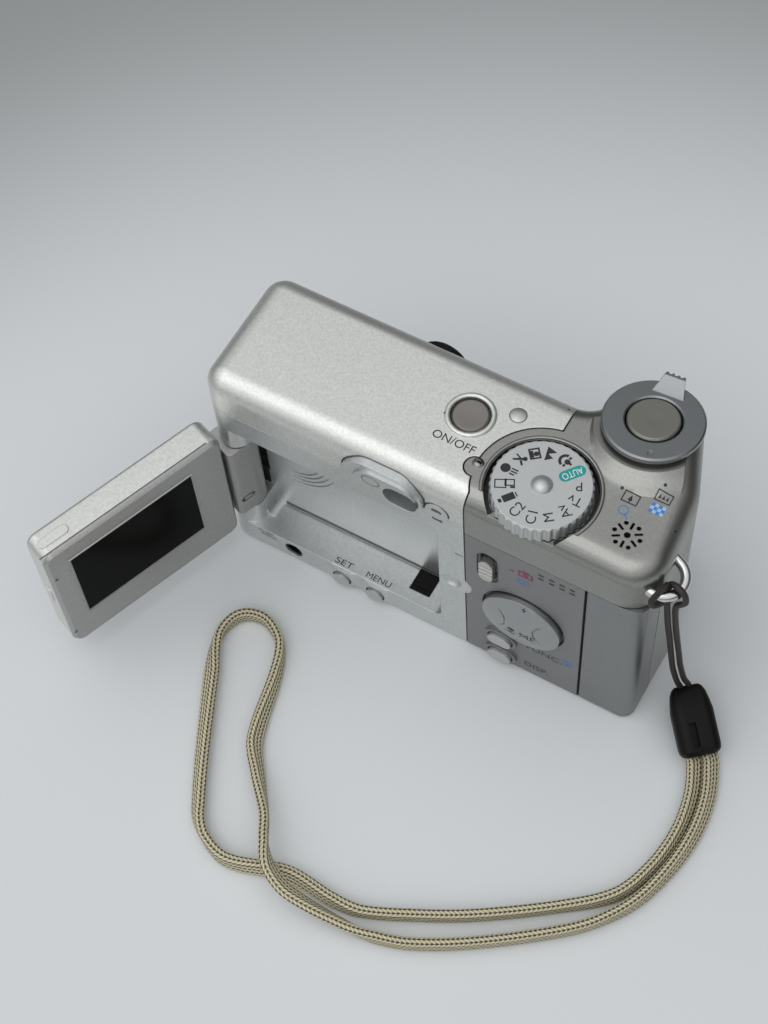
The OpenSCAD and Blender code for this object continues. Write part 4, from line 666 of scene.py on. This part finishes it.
def add_top_marks():
    drop = {"carrier": surface("front_cover", "grip_cover"), "inward": DOWN}
    add_text("power_words", "ON/OFF", 1.9, on_top(2.3, -4.7), "black_ink", width=9.4, **drop)
    tree = [[(-0.5, -0.55), (0.5, -0.55), (0, 0.75)], bar(-0.12, -0.95, 0.12, -0.5)]
    row = [[(x - 0.3, -0.45), (x + 0.3, -0.45), (x, 0.5)] for x in (-0.8, 0, 0.8)]
    add_mark("zoom_tele", outline_box(3.4, 2.5, 0.24) + tree, on_top(38.8, 0.3), "black_ink", **drop)
    add_mark("zoom_wide", outline_box(3.4, 2.4, 0.24) + row, on_top(44.4, 3.4), "black_ink", **drop)
    handle = [(0.6, -0.78), (0.82, -0.6), (1.6, -1.5), (1.38, -1.68)]
    add_mark("zoom_glass", arc_band(0.85, 0.24, 0, 360, 20) + [handle], on_top(38.7, -2.7), "blue_ink", **drop)
    cells = [(i + j, bar(-1.5 + 0.75 * i, -1.1 + 0.75 * j, -0.75 + 0.75 * i, -0.35 + 0.75 * j))
             for i in range(4) for j in range(3)]
    for odd, ink in enumerate(("blue_ink", "pale_blue_ink")):
        add_mark("zoom_index_" + ink, [cell for count, cell in cells if count % 2 == odd], on_top(44.4, 0.4), ink,
                 **drop)
    add_mark("zoom_dots", [disc(36.3, 1.5, 0.35), disc(43.5, 5.7, 0.35)], on_top(0, 0), "black_ink", **drop)
    add_mark("dial_index", [pill(1.7, 0.7)], on_top(9.3, -6.35, -10), "black_ink", **drop)
    add_mark("pin_holes", [disc(-2.5, 0.3, 0.22), disc(49.4, -1.7, 0.22), disc(18.8, 13, 0.22)], on_top(0, 0),
             "black_ink", **drop)


def add_back_marks():
    drop = {"carrier": surface("rear_cover", "control_panel"), "inward": FORWARD}
    for words, x, width in (("SET", -21.6, 4.4), ("MENU", -12.7, 6.2)):
        add_text("word_" + words.lower(), words, 1.5, place_matrix(FACE_TOP, (x, -14.4, SHELF)), "black_ink",
                 width=width, carrier=drop["carrier"], inward=DOWN)
    # Grey band along the foot of the bay's back wall, just over the shelf: painted shade
    add_mark("shelf_foot_painted_shade", [bar(-41, SHELF + 0.05, 0.2, SHELF + 1.2)], on_back(0, 0), "grey_ink", reach=BAY_REACH,
             **drop)
    for name, words, height, x, z, width in (
            ("out", "A/V OUT", 0.9, -41.6, 6.8, 4.2), ("digital", "DIGITAL", 0.9, -41.0, 5.5, 4.2),
            ("function", "FUNC.", 2.0, 29.3, 13.5, 8.4), ("display", "DISP.", 2.0, 27.6, 4.7, 5.8)):
        add_text("word_" + name, words, height, on_back(x, z), "black_ink", width=width, **drop)
    page = outline_box(2.4, 2.0, 0.35) + [bar(-0.3, -0.9, 0.3, 0.2)]
    add_mark("function_mark", page, on_back(34.9, 14.4), "blue_ink", **drop)
    record = outline_box(3.4, 2.2, 0.5) + [disc(0, 0, 0.6), bar(-0.7, 1.1, 0.7, 1.6), bar(-3.6, -0.6, -2.6, -0.1)]
    add_mark("record_mark", record, on_back(24.4, 45.6), "red_ink", **drop)
    play = outline_box(2.6, 2.0, 0.25) + [[(-0.5, -0.6), (0.7, 0), (-0.5, 0.6)]]
    add_mark("play_mark", play, on_back(23.8, 42.1), "blue_ink", **drop)
    glyphs = [bar(x - 0.75, 48.5 + dz, x + 0.45, 49.1 + dz) for x in (28.0, 30.4, 32.7, 35.0) for dz in (0, -1.5)]
    add_mark("panel_glyphs", glyphs, on_back(0, 0), "black_ink", **drop)
    oval = [[(x * 1.9 / 2, y * 1.35 / 2) for x, y in quad] for quad in arc_band(2, 0.24, 0, 360, 32)]
    add_mark("finder_line", oval, on_back(-10, 58.2), "grey_ink", **drop)
    add_mark("cover_dash", [bar(-0.9, -0.15, 0.9, 0.15)], on_back(9, 40.9), "grey_ink", **drop)


def add_pocket_shade():
    """Painted shade in the pocket behind the hinge arm: black over its floor and the wall under it, and over the ledge
    between them.
    """
    cover = surface("rear_cover", "control_panel")
    floor = [bar(-49.8, 14.6, -44.3, 39.6), bar(-49.8, 19.2, -44.3, 20.45)]
    # Both black marks are painted shade in the pocket
    add_mark("pocket_floor_painted_shade", floor, on_back(0, 0), "black_ink", carrier=cover, inward=FORWARD, reach=BAY_REACH)
    ledge = cover.ray_cast(millimetres(-45.5, -6.2, 37), DOWN)[0]
    add_mark("pocket_ledge_painted_shade", [bar(-49.8, -7.25, -44.05, -5.15)], Matrix.Translation((0, 0, ledge.z + LIFT * MM)),
             "black_ink")


def add_selector_marks():
    face = {"carrier": surface("selector_disc"), "inward": FORWARD, "body": "selector"}
    add_text("word_manual", "MF", 2.3, on_back(26.1, 22.2), "black_ink", width=3.6, **face)
    petals = [disc(0.55 * math.cos(angle), 0.9 + 0.45 * math.sin(angle), 0.42)
              for angle in map(math.radians, (30, 90, 150))]
    stalk = [bar(-0.15, -0.9, 0.15, 0.8), bar(-0.9, -0.9, 0.9, -0.6)]
    add_mark("flower", petals + stalk, on_back(22.3, 21.8), "black_ink", **face)
    bolt = [[(0.2, 0.9), (-0.6, -0.1), (0, -0.1)], [(0, 0.1), (0.6, 0.1), (-0.2, -0.9)]]
    add_mark("bolt", bolt, on_back(25.0, 33.2), "black_ink", **face)


add_dial_marks()
add_dial_gap_shade()
add_top_marks()
add_back_marks()
add_pocket_shade()
add_selector_marks()


# Monitor: pane of the screen, the rim round it, two rubber dots on the bezel and the seam line along the top
MONITOR_PLACE = Matrix.Translation(millimetres(*HINGE_AT)) @ Matrix.Rotation(math.radians(-OPEN_ANGLE), 4, "Z")


def framed_piece(name, profile, capped, slot):
    """Piece round the screen's window on the bezel; each step of its profile is (outward, height)."""
    s0, z0, s1, z1 = SCREEN_WINDOW
    vertices, faces = [], []
    for out, height in profile:
        for s, z in bar(s0 - out, z0 - out, s1 + out, z1 + out):
            vertices.append(MONITOR_PLACE @ millimetres(s, BEZEL_FACE + height, z))
    for i in range(0, 4 * len(profile) - 4, 4):
        faces += [(i + j, i + (j + 1) % 4, i + 4 + (j + 1) % 4, i + 4 + j) for j in range(4)]
    if capped:
        faces.append((3, 2, 1, 0))
    mesh = new_mesh(name, vertices, faces)
    mesh.materials.append(MATERIALS[slot])
    piece = new_object(name, mesh)
    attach(piece, "monitor")


def add_screen():
    framed_piece("screen_pane", [(-0.4, 0.06), (0, 0.05), (0.1, -0.02)], True, "screen_glass")
    framed_piece("screen_rim", [(-0.25, 0.03), (0.12, 0.26), (0.25, 0.28), (0.4, -0.02)], False, "bezel_plastic")
    face = MONITOR_PLACE @ place_matrix(FACE_BEZEL, (0, BEZEL_FACE + LIFT, 0))
    add_mark("bezel_dots", [disc(-49.6, 37.6, 0.45), disc(-50.1, 13.6, 0.45)], face, "grey_ink", body="monitor")
    over = MONITOR_PLACE @ place_matrix(FACE_TOP, (0, 0, MONITOR_TOP + LIFT))
    add_mark("monitor_seam", [bar(8.4, 1.55, 51, 1.85)], over, "grey_ink", body="monitor")


add_screen()


# Floor in metres: half its side, and a painted pool of light on it, with its middle and the radii between which it
# falls off to the painted dim colour
FLOOR_HALF = 2
LIT_POOL_MIDDLE = (0.068, -0.098, 0)
LIT_POOL_RADII = (0.19, 0.33)
LIT_POOL_PAPER_COLORS = ((0.66, 0.68, 0.69), (0.71, 0.73, 0.74))
PAINTED_DIM_COLOR = (0.3, 0.315, 0.315)


def add_stage():
    corners = [(x, y, 0) for x, y in bar(-FLOOR_HALF, -FLOOR_HALF, FLOOR_HALF, FLOOR_HALF)]
    mesh = new_mesh("floor", corners, [(0, 1, 2, 3)])
    floor = new_object("floor", mesh)
    material, tree, shader = new_material("paper")
    pale = mix_colors(tree, noise(tree, 3.0, 2.0), *LIT_POOL_PAPER_COLORS)
    away = operate(tree, "DISTANCE", coordinates(tree, "Object"), LIT_POOL_MIDDLE, "ShaderNodeVectorMath")
    light_falloff = ramp(tree, away, 0, 1, *LIT_POOL_RADII, "SMOOTHSTEP")
    # Painted light: the paper is pale in the round pool and fades to the painted dim colour outside it
    tree.links.new(mix_colors(tree, light_falloff, pale, PAINTED_DIM_COLOR), shader.inputs["Base Color"])
    shader.inputs["Roughness"].default_value = 0.8
    mesh.materials.append(material)


# Light: a soft studio dome, brightest overhead towards the viewer, and one large lamp there
OVERHEAD = Vector((-0.1, -0.36, 0.93))
DOME_COLOR = (0.96, 0.98, 1, 1)
DOME_STRENGTH = (0.08, 0.95)
DOME_RANGE = (0.1, 0.78)
LAMP_DISTANCE = 0.9
LAMP_SIZE = (0.95, 0.8)
LAMP_POWER = 1.8
LAMP_TARGET = Vector((0, 0, 0.03))


def add_dome():
    world = bpy.data.worlds.new("world")
    world.use_nodes = True
    tree = world.node_tree
    background = tree.nodes["Background"]
    background.inputs["Color"].default_value = DOME_COLOR
    toward = operate(tree, "DOT_PRODUCT", coordinates(tree, "Generated"), OVERHEAD, "ShaderNodeVectorMath")
    tree.links.new(ramp(tree, toward, *DOME_STRENGTH, *DOME_RANGE, "SMOOTHSTEP"), background.inputs["Strength"])
    bpy.context.scene.world = world


def add_lamp():
    data = bpy.data.lights.new("key", "AREA")
    data.shape = "RECTANGLE"
    data.size, data.size_y = LAMP_SIZE
    data.energy = LAMP_POWER
    lamp = new_object("key", data)
    lamp.location = OVERHEAD * LAMP_DISTANCE
    lamp.rotation_euler = (LAMP_TARGET - lamp.location).to_track_quat("-Z", "Y").to_euler()


add_stage()
add_dome()
add_lamp()
bpy.context.scene.view_settings.view_transform = "Standard"
